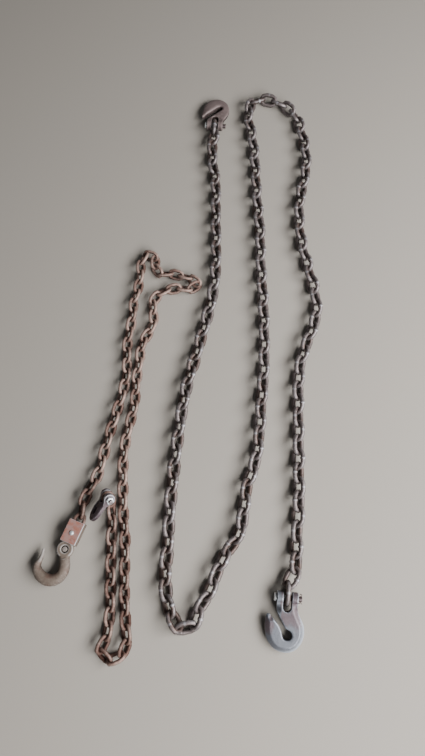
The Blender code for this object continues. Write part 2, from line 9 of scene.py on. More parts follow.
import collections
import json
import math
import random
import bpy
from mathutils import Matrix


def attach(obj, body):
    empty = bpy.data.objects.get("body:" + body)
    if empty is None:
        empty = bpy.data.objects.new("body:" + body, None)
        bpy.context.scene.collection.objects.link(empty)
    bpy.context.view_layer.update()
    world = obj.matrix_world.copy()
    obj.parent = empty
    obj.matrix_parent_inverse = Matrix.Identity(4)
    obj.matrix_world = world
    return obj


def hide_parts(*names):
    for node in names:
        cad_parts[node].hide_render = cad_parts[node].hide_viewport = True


bl_info = {
    "name": "Heap of Steel Chain",
    "version": (1, 0, 0),
    "blender": (4, 5, 0),
    "location": "3D View > Sidebar > Chain Heap",
    "description": "Two weathered steel chains with their hooks, laid out on a floor",
    "category": "Object",
}

import bmesh
import bpy
import numpy as np
from bpy.props import FloatProperty, FloatVectorProperty, IntProperty, PointerProperty
from mathutils import Matrix, Vector

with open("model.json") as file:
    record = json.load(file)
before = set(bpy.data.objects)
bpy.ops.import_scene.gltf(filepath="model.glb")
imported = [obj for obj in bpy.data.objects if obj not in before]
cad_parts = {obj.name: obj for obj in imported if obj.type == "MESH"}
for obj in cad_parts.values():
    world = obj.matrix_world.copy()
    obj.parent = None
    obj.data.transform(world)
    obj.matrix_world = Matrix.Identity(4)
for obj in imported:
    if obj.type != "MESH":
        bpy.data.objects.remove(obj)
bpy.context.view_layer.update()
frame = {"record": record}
RECORD = frame["record"]
BODY_OF = {node: body for body, nodes in RECORD["behaviour"]["bodies"].items() for node in nodes}

UP = Vector((0, 0, 1))
ALONG_PIN = (1, 0, 0)  # a clevis hook's pin lies along X in the hook's own frame
CUT = 0.2  # length of what cuts right through a hook
EAR_BLEND = 0.008  # length over which a hook's crown fades out below its ears
SLIVER = 0.00002  # two points of a mesh nearer than this are one

# Shared with the part's source
SLACK = 0.0026  # how much closer two links lie where one stretch of chain ends
PIN_PLAY = 0.0012  # the end link rides this much off the round of its pin
CLEVIS_PLAY = 0.0035  # side play of the end link between the ears
TOUCH = 0.0003  # gap between pieces that rest on or pass through each other
USUAL_ROLL = 45  # degrees that a link is rolled about its chain, the next one by 90 more
TWIST_LINKS = 1.5  # links over which an end's turn fades into that roll
CAD_BAR_CORNER = math.sqrt(math.pi / 2)  # corner of the solids' square bar, over the round bar's radius
GRAB_FOLD = math.radians(125)  # how far the rusty chain's clevis hook is folded back
EYE_HOOK_TURN = math.radians(29.4)  # how far the eye hook is turned about its stud
MIDDLE = Vector((-0.0520, 0.5470, -0.0004))  # middle of the heap, which the route points are moved by

# The photograph's view
VIEW_FILM = 36.0  # height of the film in millimetres
VIEW_LENS = 27.0  # the lens in millimetres
VIEW_HEIGHT = 1.225
VIEW_TILT = math.radians(19.5)

# The stage: half the floor's side, the light from all round, and each lamp's name, place, width, height
# and watts
FLOOR_HALF = 6.0
FLOOR_ROUGHNESS = 0.9
ROOM_COLOUR = "E4E8EC"
ROOM_STRENGTH = 0.07
LAMPS = (("key", (1.70, -0.98, 1.50), 3.4, 1.1, 155), ("fill", (-0.6, 1.6, 2.2), 2.0, 2.0, 2))

# Links
LINK_SIDES = 8  # sides of a link's bar
CROWN_STEPS = 4  # steps round each end of a link
LINKS_ABOVE = 0.00015  # least height of a link over the floor, which keeps it inside the solids' box

# Headed pins and split pins of the large clevis hooks
PIN_HEAD_RADIUS = 0.008
PIN_HEAD_THICK = 0.005
SPLIT_PIN_RADIUS = 0.0013
SPLIT_PIN_LENGTH = 0.020

# Bolt and nut of the small one
BOLT_HEAD_THICK = 0.005
NUT_THICK = 0.007
NUT_RADIUS = 0.008  # across the corners, and the bolt's head too
THREAD_END = 0.006  # thread past the nut

# The coupling, seen flat about its post with the hook towards -Y
COUPLER_REACH = 0.051  # post to stud
PLATE_HALF = 0.0165  # half the width of both plates
PLATE_END = 0.0085  # plates past the post
PLATE_LENGTH = 0.046
PLATE_LOW = PLATE_END - PLATE_LENGTH
BASE_THICK = 0.0045
COVER_THICK = 0.0055
STUD_RADIUS = 0.0052
POST_RADIUS = 0.0042
TONGUE_RADIUS = STUD_RADIUS + 0.004  # base plate round the stud
TONGUE_ROOT = 0.004  # how far the tongue's root slopes
RIVET_RADIUS = 0.0038
RIVET_HEAD_RADIUS = 0.0048
RIVET_HEAD_DOME = 0.62  # height of its head over the radius
RIVET_Y = PLATE_END - PLATE_LENGTH / 2 - 0.0025

# Where each chain runs, in millimetres: x, y and how far it is lifted off its rest
LOG_ROUTE = [
    (148, -42, 3.7), (151, -12, 3.7), (164, 6, 3.2), (170, 32, 1.6), (173, 85), (181, 146), (184, 220),
    (188, 308), (192, 400), (199, 460), (215, 508), (237, 561), (247, 605), (243, 655), (232, 718),
    (221, 778), (217, 845), (223, 917), (239, 982), (246, 1048), (239, 1121), (225, 1180), (196, 1217),
    (147, 1240), (108, 1228), (96, 1185), (104, 1120), (110, 1050), (113, 911), (118, 821), (117, 735),
    (120, 613), (120, 535), (116, 445), (107, 358), (102, 301), (92, 238), (73, 188), (65, 136), (56, 88),
    (32, 56), (11, 20), (-6, -24), (-30, -62), (-40, -94), (-60, -100), (-79, -74), (-92, -35), (-96, 15),
    (-91, 69), (-91, 121), (-86, 188), (-79, 263), (-69, 345), (-57, 416), (-41, 473), (-20, 555),
    (-1, 634), (8, 720), (8, 836), (8, 960), (1, 1015), (-2, 1058, 0.8), (1, 1090, 3.2), (4, 1118, 4.2),
    (6, 1142, 3.7), (8, 1172, 3.7)]
RUSTY_ROUTE = [
    (-284, 99.2, 0.8), (-274.1, 123, 0.9), (-272.9, 149, 0.9), (-263.1, 176), (-247, 205), (-239, 238),
    (-231, 278), (-220, 325), (-208, 370), (-199, 410), (-195, 455), (-198, 500), (-194, 545),
    (-188, 588), (-188, 622), (-178, 660), (-175, 700), (-174, 730), (-160, 755), (-139, 752),
    (-142, 724), (-133, 697), (-105, 699), (-75, 692), (-46, 683), (-33, 668), (-50, 655), (-80, 659),
    (-107, 655), (-132, 640), (-145, 616), (-138, 588), (-141, 556), (-157, 530), (-166, 500),
    (-168, 465), (-173, 425), (-173, 385), (-178, 345), (-188, 298), (-193, 250), (-191, 190),
    (-187, 130), (-180, 68), (-178, 0), (-173, -71), (-167, -110), (-170, -136), (-198, -149),
    (-219, -156), (-220, -136), (-207, -106), (-203, -60), (-206, 0), (-208, 65), (-209, 110),
    (-210.5, 140, 10), (-220.2, 171.3, 36.2)]

# Outlines of the forged clevis hooks, in millimetres about the pin, with -Y away from the chain. The
# outer line runs from the tip round the bowl and up both ears, and the throat line comes back down
# the shank, round the bottom of the throat and up to the tip.
NEAR_OUTER = [
    (-29.5, -36), (-31.5, -33.3), (-35.5, -32.3), (-39, -34.5), (-40.6, -44), (-40.3, -58), (-37, -73),
    (-30, -86), (-18, -96), (-3, -100), (12, -98.5), (25, -90.5), (34, -77), (37, -61), (35, -47),
    (29, -36), (23.5, -26), (21, -14), (21, 0), (21, 0), (-21, 0), (-21, 0), (-21, -12), (-20, -22)]
NEAR_THROAT = [
    (-19, -27), (-13, -37), (-6, -47.5), (-1, -55.5), (3.5, -57.5), (9, -60.2), (12.6, -65),
    (12.8, -70.5), (9.5, -75.5), (3.5, -77), (-2.5, -75.5), (-6, -69), (-9, -60), (-16, -49.5), (-25.5, -40)]
FAR_OUTER = [
    (-31, -28), (-35.5, -26.5), (-37.5, -31), (-37, -43), (-34.5, -60), (-29.5, -76), (-20, -89),
    (-6, -95.5), (9, -95), (23, -87), (32, -73), (35, -57), (33, -41), (27, -27), (22.5, -18),
    (21, -10), (21, 0), (21, 0), (-21, 0), (-21, 0), (-21, -10), (-21, -14)]
FAR_THROAT = [
    (-20.5, -17), (-12, -26.5), (-2, -37), (8, -47.5), (14.5, -54), (16.5, -60), (13.5, -65.5),
    (7.5, -66.5), (1, -62), (-9, -51.5), (-19, -41), (-27.5, -32)]
GRAB_OUTER = [
    (-15.1, -21.7), (-17.6, -19.5), (-20, -22.3), (-20.5, -31.2), (-18.5, -41.2), (-13.2, -51.2),
    (-4.9, -57.9), (3.9, -59), (12.7, -54), (18, -44.5), (19.3, -33.4), (18.3, -23.4), (17, -14.5),
    (16.6, -4.5), (16.6, 0), (16.6, 0), (-16.6, 0), (-16.6, 0), (-16.6, -6.7), (-16.6, -11.1)]
GRAB_THROAT = [
    (-15.6, -14.5), (-11.7, -21.2), (-6.8, -27.8), (-2.9, -31.7), (2, -30.7), (6.3, -33.4), (7.4, -38.4),
    (4.9, -43.2), (0.5, -44.1), (-3.9, -40.1), (-7.8, -34), (-13.7, -25)]

# The eye hook's bar in millimetres about the stud: x, y, half its width and half its height
EYE_HOOK_BAR = [
    (-2, -9, 9.6, 7.0), (-2.3, -19, 11.0, 9.0), (-2.6, -29, 11.4, 10.3), (-4.5, -38, 11.6, 10.8),
    (-8.5, -46.5, 11.7, 11.0), (-17, -53.5, 12.0, 11.0), (-28, -56.5, 12.2, 11.0), (-40, -54, 12.0, 11.0),
    (-49.5, -47, 11.4, 10.8), (-56, -38, 10.4, 10.4), (-58.6, -30, 9.4, 9.6), (-56.8, -21.5, 7.6, 8.4),
    (-51.5, -14.5, 5.2, 6.8), (-47, -5.5, 3.9, 5.4), (-45, 2, 2.9, 4.2), (-43.8, 7.5, 1.7, 2.8)]

# How each chain is laid: its route, the links in its first piece and in each later one, and how its two
# end links are turned about it, where 0 lies flat and 90 stands on edge
LAYS = {"grey": (LOG_ROUTE, 7, 10, (90, 90)), "rusty": (RUSTY_ROUTE, 9, 11, (0, 12))}
Chain = collections.namedtuple("Chain", "rod pitch eye links starts")

# How each clevis hook is worked and worn: how far in from its outer line and its throat line the faces
# fall away (reaches), how thick the plate is left on those lines, as a share (walls), how round the fall
# is, where 0 is a flat bevel, the tones of the bowl and the shank, how pale the bowl's back is made on
# its lit side, partly rubbed bare and partly painted highlight, and how bare the ears are rubbed
# (rub), and how much slot is left past the end link (room)
HookShape = collections.namedtuple("HookShape", "outer throat reaches walls roundness tones rub room")
NEAR_HOOK = HookShape(
    NEAR_OUTER, NEAR_THROAT, reaches=(0.0092, 0.0020), walls=(0.26, 0.85), roundness=0.10,
    tones=(0.85, 0.0), rub=(0.6, 0.0), room=0.0095)
FAR_HOOK = HookShape(
    FAR_OUTER, FAR_THROAT, reaches=(0.018, 0.0055), walls=(0.35, 0.6), roundness=0.70,
    tones=(0.75, 0.45), rub=(0.0, 0.0), room=0.0095)
GRAB_HOOK = HookShape(
    GRAB_OUTER, GRAB_THROAT, reaches=(0.009, 0.003), walls=(0.4, 0.6), roundness=0.3,
    tones=(0.35, 0.45), rub=(0.0, 0.22), room=0.004)


# Sizes and colours


def metres(name, description, default, least=0.001):
    return FloatProperty(
        name=name, description=description, default=default, min=least, unit="LENGTH", subtype="DISTANCE")


class ChainHeapSizes(bpy.types.PropertyGroup):
    """Sizes of the chains and hooks that a user would change."""

    grey_rod: metres("Grey Chain Bar", "Thickness of the grey chain's round bar", 0.010, 0.004)
    grey_pitch: metres("Grey Chain Pitch", "Distance from one grey link to the next", 0.031, 0.01)
    grey_eye: metres("Grey Chain Eye", "Width of the opening in a grey link", 0.014, 0.005)
    rusty_rod: metres("Rusty Chain Bar", "Thickness of the rusty chain's round bar", 0.008, 0.004)
    rusty_pitch: metres("Rusty Chain Pitch", "Distance from one rusty link to the next", 0.026, 0.01)
    rusty_eye: metres("Rusty Chain Eye", "Width of the opening in a rusty link", 0.012, 0.005)
    roll_spread: FloatProperty(
        name="Roll Spread", description="How far a link may roll from its usual 45 degrees",
        default=math.radians(4), min=0, unit="ROTATION", subtype="ANGLE")
    weld_swell: FloatProperty(
        name="Weld Swell", description="How much thicker a link's bar is at its weld",
        default=0.26, min=0, max=0.4, subtype="FACTOR")
    welds_up: FloatProperty(
        name="Welds Up", description="Share of the links that show their weld",
        default=0.45, min=0, max=1, subtype="FACTOR")
    log_hook_reach: metres("Log Hook Reach", "Pin to the outside of the bowl", 0.100)
    log_hook_thick: metres("Log Hook Thickness", "Thickness of the two large clevis hooks", 0.018)
    log_clevis_width: metres("Log Clevis Width", "Width over both ears of the large clevis hooks", 0.042)
    log_ear_radius: metres("Log Ear Radius", "Radius of the large clevis hooks' ears", 0.0125)
    log_pin_radius: metres("Log Pin Radius", "Radius of the pins through those hooks", 0.0050)
    grab_hook_thick: metres("Grab Hook Thickness", "Thickness of the small clevis hook", 0.014)
    grab_clevis_width: metres("Grab Clevis Width", "Width over both ears of that hook", 0.034)
    grab_ear_radius: metres("Grab Ear Radius", "Radius of that hook's ears", 0.0115)
    grab_bolt_radius: metres("Grab Bolt Radius", "Radius of the bolt through that hook", 0.0042)
    eye_ring_radius: metres("Eye Ring Radius", "Outside radius of the eye hook's ring", 0.017)
    eye_ring_hole: metres("Eye Ring Hole", "Radius of the hole in the eye hook's ring", 0.0075)
    eye_ring_thick: metres("Eye Ring Thickness", "Height of the eye hook's ring", 0.014)
    scuff: metres("Scuff", "How far in from its edges the painted cover is scuffed", 0.0015, 0.0001)
    voxel: metres("Forging Voxel", "Mesh spacing of the forged pieces", 0.0009, 0.0005)
    seed: IntProperty(
        name="Seed", description="Start of the random tones and rolls of the links", default=7)


def srgb(colour_hex):
    """Linear RGBA of an sRGB hex value."""
    channels = [int(colour_hex[i:i + 2], 16) / 255 for i in (0, 2, 4)]
    return (*[c / 12.92 if c <= 0.04045 else ((c + 0.055) / 1.055) ** 2.4 for c in channels], 1.0)


def tint(name, description, colour_hex):
    return FloatVectorProperty(
        name=name, description=description, default=srgb(colour_hex), size=4, min=0, max=1, subtype="COLOR")


class ChainHeapColours(bpy.types.PropertyGroup):
    """Colours of the finishes and the floor."""

    # The dark colours show in hollows and on sides, as oxide, rust and scale and also as painted shade; the
    # light ones show on upper faces, as dust and dry rust and also as painted top light
    grey_dark: tint("Grey Dark", "Oxide of the grey chain in its hollows", "211917")
    grey_light: tint("Grey Light", "Dusty top faces of the grey chain", "7E7372")
    grey_rust: tint("Grey Rust", "Rust patches on the grey chain", "6E574E")
    rust_dark: tint("Rust Dark", "Deep rust in hollows", "1C0A07")
    rust_light: tint("Rust Light", "Dry rust on the rusty chain's top faces", "AC8F84")
    rust_orange: tint("Rust Orange", "Fresh rust", "6C483C")
    rust_worn: tint("Rust Worn", "Rubbed crowns of the rusty chain", "D3BCB0")
    forged_dark: tint("Forged Dark", "Scale in the near hook's hollows", "35323A")
    forged: tint("Forged", "Scale on the near hook", "777A82")
    forged_rust: tint("Forged Rust", "Brown film on the near hook's shank", "756063")
    # Also the painted highlight along the lit back of the near hook's bowl
    forged_worn: tint("Forged Worn", "Rubbed edges of the near hook", "CAD2DD")
    brown_worn: tint("Brown Worn", "Rubbed edges of the far hook", "A39895")
    scale_dark: tint("Scale Dark", "Scale in the small clevis hook's hollows", "2B2226")
    scale: tint("Scale", "Dark scale on the small clevis hook", "6A5C61")
    pin: tint("Pin", "Pale steel of the hooks' pins", "CDD0CE")
    forged_brown: tint("Forged Brown", "Scale on the far hook", "857573")
    tan_dark: tint("Tan Dark", "Rust in the eye hook's hollows", "342822")
    tan_rust: tint("Tan Rust", "Dry rust on the eye hook", "786A5F")
    tan_worn: tint("Tan Worn", "Worn steel of the eye hook's ring and tip", "C2BDBA")
    worn: tint("Worn", "Bare steel on worn edges", "CBCCD1")
    primer: tint("Primer", "Red primer on the coupling's cover", "A06A5C")
    primer_faded: tint("Primer Faded", "Dusty, faded primer", "9C827D")
    primer_rust: tint("Primer Rust", "Rust that comes through the primer", "85503E")
    zinc: tint("Zinc", "Zinc plate on the nut and rivet", "EDF2F5")
    floor: tint("Floor", "Plain pale floor", "B0A9A0")


# Places, as in the part's source


def smooth_line(spots, steps):
    """A smooth line from the second spot to the last but one. A spot given twice is a corner."""
    line = []
    for before, start, stop, after in zip(spots, spots[1:], spots[2:], spots[3:]):
        if start == stop:
            continue
        leave = (stop - before) / 2
        arrive = (after - start) / 2
        for step in range(steps):
            t = step / steps
            line.append(
                start * (2 * t**3 - 3 * t**2 + 1) + leave * (t**3 - 2 * t**2 + t)
                + stop * (3 * t**2 - 2 * t**3) + arrive * (t**3 - t**2))
    line.append(spots[-2])
    return line


def step_along(fine, place, start, reach):
    """The next place on the line at a straight distance of reach from start."""
    index, _ = place
    while index < len(fine) - 1:
        low, high = fine[index], fine[index + 1]
        if (high - start).length >= reach:
            near = 0.0 if place[0] != index else place[1]
            far = 1.0
            # Halved until it is far below a micron
            for _ in range(30):
                middle = (near + far) / 2
                if (low.lerp(high, middle) - start).length < reach:
                    near = middle
                else:
                    far = middle
            return (index, far), low.lerp(high, far)
        index += 1
    return None, None


def lay_chain(sizes, which):
    """One chain's sizes, its links' centres, directions and rolls, and which link starts each piece."""
    rod, pitch, eye = (getattr(sizes, f"{which}_{size}") for size in ("rod", "pitch", "eye"))
    route, first, stretch, end_rolls = LAYS[which]
    rest = (eye + rod) / 2 * math.sin(math.radians(USUAL_ROLL)) + rod / 2 * CAD_BAR_CORNER
    spots = [Vector((x / 1000, y / 1000, rest + sum(lift) / 1000)) - MIDDLE for x, y, *lift in route]
    fine = smooth_line([2 * spots[0] - spots[1], *spots, 2 * spots[-1] - spots[-2]], 10)
    starts = [0, *range(first, len(fine), stretch)]
    place, start = (0, 0.0), fine[0]
    spans = []
    while True:
        ahead, stop = step_along(fine, place, start, pitch)
        if ahead is None:
            break
        spans.append((start.copy(), stop.copy()))
        start = start + (stop - start).normalized() * (pitch - (SLACK if len(spans) in starts else 0))
        place = ahead
    last = len(spans) - 1
    first_turn = end_rolls[0] - USUAL_ROLL
    last_turn = (end_rolls[1] - USUAL_ROLL - 90 * last + 90) % 180 - 90
    links = []
    for index, (start, stop) in enumerate(spans):
        roll = USUAL_ROLL + 90 * index + (
            first_turn * max(0, 1 - index / TWIST_LINKS)
            + last_turn * max(0, 1 - (last - index) / TWIST_LINKS))
        links.append(((start + stop) / 2, (stop - start).normalized(), math.radians(roll)))
    return Chain(rod, pitch, eye, links, [start for start in starts if start < len(links)])


def axes(x_axis, y_axis, z_axis, seat):
    return Matrix((
        (x_axis.x, y_axis.x, z_axis.x, seat.x), (x_axis.y, y_axis.y, z_axis.y, seat.y),
        (x_axis.z, y_axis.z, z_axis.z, seat.z), (0, 0, 0, 1)))


def link_frame(centre, along, roll):
    """A link's frame: long in X and flat in XY."""
    across = UP.cross(along).normalized()
    normal = along.cross(across) * math.cos(roll) - across * math.sin(roll)
    return axes(along, normal.cross(along), normal, centre)


def end_frame(link, pitch, pin_radius, at_start, drop=0.0):
    """Frame of a hook on an end link: its pin along X, and -Y leading away from the chain."""
    along = link.col[0].xyz * (1 if at_start else -1)
    pin_axis = link.col[2].xyz
    if (pin_axis.cross(along).z > 0) != at_start:
        pin_axis = -pin_axis
    seat = link.translation - along * (pitch / 2 - pin_radius - PIN_PLAY)
    along = Matrix.Rotation(drop if at_start else -drop, 3, pin_axis) @ along
    return axes(pin_axis, along, pin_axis.cross(along), seat)


def log_hook_frames(sizes):
    """Frames of the grey chain's near and far hooks, each dropped until its bowl is on the floor."""
    chain = lay_chain(sizes, "grey")
    frames = {}
    for where, end, near in (("near", 0, True), ("far", -1, False)):
        link = link_frame(*chain.links[end])
        level = end_frame(link, chain.pitch, sizes.log_pin_radius, near)
        drop = math.asin((level.translation.z - sizes.log_hook_thick / 2) / sizes.log_hook_reach)
        drop -= math.asin(level.col[1].z)
        frames[where] = end_frame(link, chain.pitch, sizes.log_pin_radius, near, drop)
    return frames


def grab_hook_frame(sizes):
    chain = lay_chain(sizes, "rusty")
    return end_frame(link_frame(*chain.links[-1]), chain.pitch, sizes.grab_bolt_radius, False, -GRAB_FOLD)


def coupler_frame(sizes):
    """Frame of the coupling: its post along Z in the end link, and -Y towards the hook."""
    chain = lay_chain(sizes, "rusty")
    link = link_frame(*chain.links[0])
    along = link.col[0].xyz
    normal = link.col[2].xyz
    seat = link.translation - along * (chain.pitch / 2 - sizes.grab_bolt_radius - PIN_PLAY)
    return axes(along.cross(normal), along, normal, seat)


# Meshes and what is read from them


def mesh_of(name, bm):
    """The mesh of a bmesh that is finished with."""
    mesh = bpy.data.meshes.new(name)
    bm.to_mesh(mesh)
    bm.free()
    return mesh


def new_object(name, data):
    """An object of the data, linked to the scene."""
    made = bpy.data.objects.new(name, data)
    bpy.context.scene.collection.objects.link(made)
    return made


def scratch_object(name, bm):
    """An object that modifiers read while a piece is made. Forging removes it."""
    bmesh.ops.recalc_face_normals(bm, faces=bm.faces)
    return new_object(name, mesh_of(name, bm))


def bind_piece(mesh, finish_name, node, place=None, sharp=None):
    """Puts a finished mesh in its place and makes the piece of it that stands for a node.

    The piece takes the node's body.
    """
    if place:
        mesh.transform(place)
    mesh.shade_smooth()
    if sharp is not None:
        mesh.set_sharp_from_angle(angle=math.radians(sharp))
    mesh.materials.clear()
    mesh.materials.append(finish(finish_name))
    piece = new_object(mesh.name, mesh)
    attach(piece, BODY_OF[node])
    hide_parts(node)


def add_even_mesh(item, voxel):
    """Gives an object an even mesh that can be worked on."""
    remesh = item.modifiers.new("even", "REMESH")
    remesh.mode = "VOXEL"
    remesh.voxel_size = voxel


def forge(name, blank, tools, voxel=None):
    """The mesh of a blank with its tools joined or cut, and without the slivers that a boolean leaves.

    Blank and tools are used up. With a voxel the mesh is an even one.
    """
    for tool, operation in tools:
        modifier = blank.modifiers.new(operation.lower(), "BOOLEAN")
        modifier.object = tool
        modifier.operation = operation
        modifier.solver = "EXACT"
    if voxel:
        add_even_mesh(blank, voxel)
    graph = bpy.context.evaluated_depsgraph_get()
    mesh = bpy.data.meshes.new_from_object(blank.evaluated_get(graph))
    mesh.name = name
    bm = bmesh.new()
    bm.from_mesh(mesh)
    bmesh.ops.remove_doubles(bm, verts=bm.verts, dist=SLIVER)
    bmesh.ops.dissolve_degenerate(bm, dist=SLIVER, edges=bm.edges)
    bm.to_mesh(mesh)
    bm.free()
    for item in (blank, *[tool for tool, _ in tools]):
        used = item.data
        bpy.data.objects.remove(item, do_unlink=True)
        bpy.data.meshes.remove(used)
    return mesh


def bevelled(bm, edges, width):
    bmesh.ops.bevel(
        bm, geom=edges, offset=width, offset_type="OFFSET", segments=2, profile=0.5, affect="EDGES",
        material=-1)


def cylinder(name, radius, length, centre, axis=UP, sides=32, end_bevel=0.0):
    """A scratch object, round or with flats."""
    bm = bmesh.new()
    turn = UP.rotation_difference(Vector(axis)).to_matrix().to_4x4()
    bmesh.ops.create_cone(
        bm, cap_ends=True, segments=sides, radius1=radius, radius2=radius, depth=length,
        matrix=Matrix.Translation(centre) @ turn)
    if end_bevel:
        bevelled(bm, [e for e in bm.edges if any(len(f.verts) == sides for f in e.link_faces)], end_bevel)
    return scratch_object(name, bm)


def box(low, high):
    bm = bmesh.new()
    bmesh.ops.create_cube(bm, size=1.0)
    bmesh.ops.scale(bm, verts=bm.verts, vec=Vector(high) - Vector(low))
    bmesh.ops.translate(bm, verts=bm.verts, vec=(Vector(high) + Vector(low)) / 2)
    return bm


def forged_blank(name, outline, half):
    """A plate of the outline, as the start of a forging."""
    bm = bmesh.new()
    face = bm.faces.new([bm.verts.new((p.x, p.y, -half)) for p in outline])
    grown = bmesh.ops.extrude_face_region(bm, geom=[face])
    top = [g for g in grown["geom"] if isinstance(g, bmesh.types.BMVert)]
    bmesh.ops.translate(bm, verts=top, vec=(0, 0, 2 * half))
    bmesh.ops.triangulate(bm, faces=[f for f in bm.faces if len(f.verts) > 4])
    return scratch_object(name, bm)


def add_ring(bm, place, radius, sides):
    """Adds a ring of edges, for bridging."""
    circle = bmesh.ops.create_circle(bm, segments=sides, radius=radius, matrix=place)
    ring = set(circle["verts"])
    return [edge for edge in bm.edges if set(edge.verts) <= ring]


def headings(spots):
    """The way that a run of spots leads at each of them."""
    return [ahead - back for ahead, back in zip(spots[1:] + spots[-1:], spots[:1] + spots[:-1])]


def add_bar(bm, rings, sides):
    """Adds a bar through rings of centre, heading, half width across and half height."""
    loops = []
    for centre, heading, wide, high in rings:
        heading = heading.normalized()
        across = Vector((-heading.y, heading.x, 0)).normalized()
        up = across.cross(heading)
        place = Matrix((
            (across.x * wide, up.x * high, heading.x, centre.x),
            (across.y * wide, up.y * high, heading.y, centre.y),
            (across.z * wide, up.z * high, heading.z, centre.z), (0, 0, 0, 1)))
        loops.append(add_ring(bm, place, 1.0, sides))
    for here, ahead in zip(loops, loops[1:]):
        bmesh.ops.bridge_loops(bm, edges=here + ahead)
    for end in (loops[0], loops[-1]):
        bmesh.ops.edgeloop_fill(bm, edges=end)
    bmesh.ops.recalc_face_normals(bm, faces=bm.faces)


def line_distance(spots, line):
    """Distance of each 2D spot from a line of points."""
    line = np.array([(p.x, p.y) for p in line])
    start, span = line[:-1], line[1:] - line[:-1]
    length = np.maximum((span**2).sum(1), 1e-12)
    offset = spots[:, None, :] - start[None]
    t = np.clip((offset * span[None]).sum(2) / length[None], 0, 1)
    return np.sqrt(((offset - t[..., None] * span[None]) ** 2).sum(2).min(1))


def read_rows(items, name, width, kind=np.float64):
    """What a mesh's vertices or edges hold, as an array with one row for each."""
    values = np.empty(len(items) * width, kind)
    items.foreach_get(name, values)
    return values.reshape(-1, width)


def mesh_spots(mesh):
    return read_rows(mesh.vertices, "co", 3)


def set_spots(mesh, spots):
    mesh.vertices.foreach_set("co", spots.reshape(-1))
    mesh.update()


def set_values(mesh, name, values):
    """Writes an attribute that the finishes read, one value for each vertex."""
    layer = mesh.attributes.new(name, "FLOAT", "POINT")
    layer.data.foreach_set("value", np.broadcast_to(values, len(mesh.vertices)).astype(np.float32))


def sum_neighbours(edges, values):
    return (np.bincount(edges[:, 0], values[edges[:, 1]], len(values))
            + np.bincount(edges[:, 1], values[edges[:, 0]], len(values)))


def count_neighbours(edges, spots):
    return np.maximum(np.bincount(edges.reshape(-1), minlength=len(spots)), 1)


def smooth_mesh(mesh, rounds):
    """Relaxes a mesh: each round moves a vertex half way to the mean of its neighbours."""
    edges = read_rows(mesh.edges, "vertices", 2, np.int64)
    spots = mesh_spots(mesh)
    count = count_neighbours(edges, spots)[:, None]
    for _ in range(rounds):
        total = np.stack([sum_neighbours(edges, spots[:, axis]) for axis in range(3)], 1)
        spots += 0.5 * (total / count - spots)
    set_spots(mesh, spots)


def stand_out(mesh, reach=6):
    """How proud each vertex stands of what is round it, from 0 in a hollow to 1 on an edge."""
    edges = read_rows(mesh.edges, "vertices", 2, np.int64)
    spots = mesh_spots(mesh)
    normals = read_rows(mesh.vertices, "normal", 3)
    step = spots[edges[:, 1]] - spots[edges[:, 0]]
    length = np.maximum(np.linalg.norm(step, axis=1), 1e-9)
    bend = np.bincount(edges[:, 0], -(step * normals[edges[:, 0]]).sum(1) / length, len(spots))
    bend += np.bincount(edges[:, 1], (step * normals[edges[:, 1]]).sum(1) / length, len(spots))
    count = count_neighbours(edges, spots)
    bend /= count
    for _ in range(reach):
        bend = 0.4 * bend + 0.6 * sum_neighbours(edges, bend) / count
    spread = np.percentile(np.abs(bend), 95)
    return np.clip(0.5 + 0.5 * bend / max(spread, 1e-9), 0, 1)


# Finishes


def add_node(tree, kind, inputs=None, **settings):
    """Adds a node with its settings, and sets or links its inputs."""
    made = tree.nodes.new("ShaderNode" + kind)
    for name, value in settings.items():
        setattr(made, name, value)
    for socket, value in (inputs or {}).items():
        if isinstance(value, bpy.types.NodeSocket):
            tree.links.new(value, made.inputs[socket])
        else:
            made.inputs[socket].default_value = value
    return made


def new_material(name, metallic, colour, patterns=()):
    """A material, its node tree and shader, and a noise for each pattern on Object coordinates.

    A pattern is the size in millimetres of what it shows, its detail and its roughness.
    """
    material = bpy.data.materials.new(name)
    material.use_nodes = True
    tree = material.node_tree
    tree.nodes.clear()
    shader = add_node(tree, "BsdfPrincipled", {"Metallic": metallic})
    add_node(tree, "OutputMaterial", {"Surface": shader.outputs["BSDF"]})
    material.diffuse_color = tuple(colour)
    noises = []
    for size, detail, roughness in patterns:
        place = add_node(tree, "TexCoord").outputs["Object"]
        noises.append(add_node(tree, "TexNoise", {
            "Vector": place, "Scale": 1000 / size, "Detail": detail, "Roughness": roughness}).outputs["Fac"])
    return material, tree, shader, noises


def cover_with(tree, shader, base, layers, bump, rough=None):
    """Lays colours over a base, and gives the surface its bumps and where it varies its roughness.

    A layer has a value, the low at which it starts, the high at which it covers most, that share and its
    colour. A bump has its height, strength and depth in metres, and rough has a value, the low and high
    that count, and the roughness at each.
    """
    base = tuple(base)
    for value, low, high, most, colour in layers:
        share = add_node(tree, "MapRange", {
            "Value": value, "From Min": low, "From Max": high, "To Max": most}).outputs[0]
        base = add_node(tree, "Mix", {
            "Factor": share, 6: base, 7: tuple(colour)}, data_type="RGBA").outputs[2]
    tree.links.new(base, shader.inputs["Base Color"])
    bumps = add_node(tree, "Bump", dict(zip(("Height", "Strength", "Distance"), bump)))
    tree.links.new(bumps.outputs["Normal"], shader.inputs["Normal"])
    if rough:
        mapped = add_node(
            tree, "MapRange", dict(zip(("Value", "From Min", "From Max", "To Min", "To Max"), rough)))
        tree.links.new(mapped.outputs[0], shader.inputs["Roughness"])


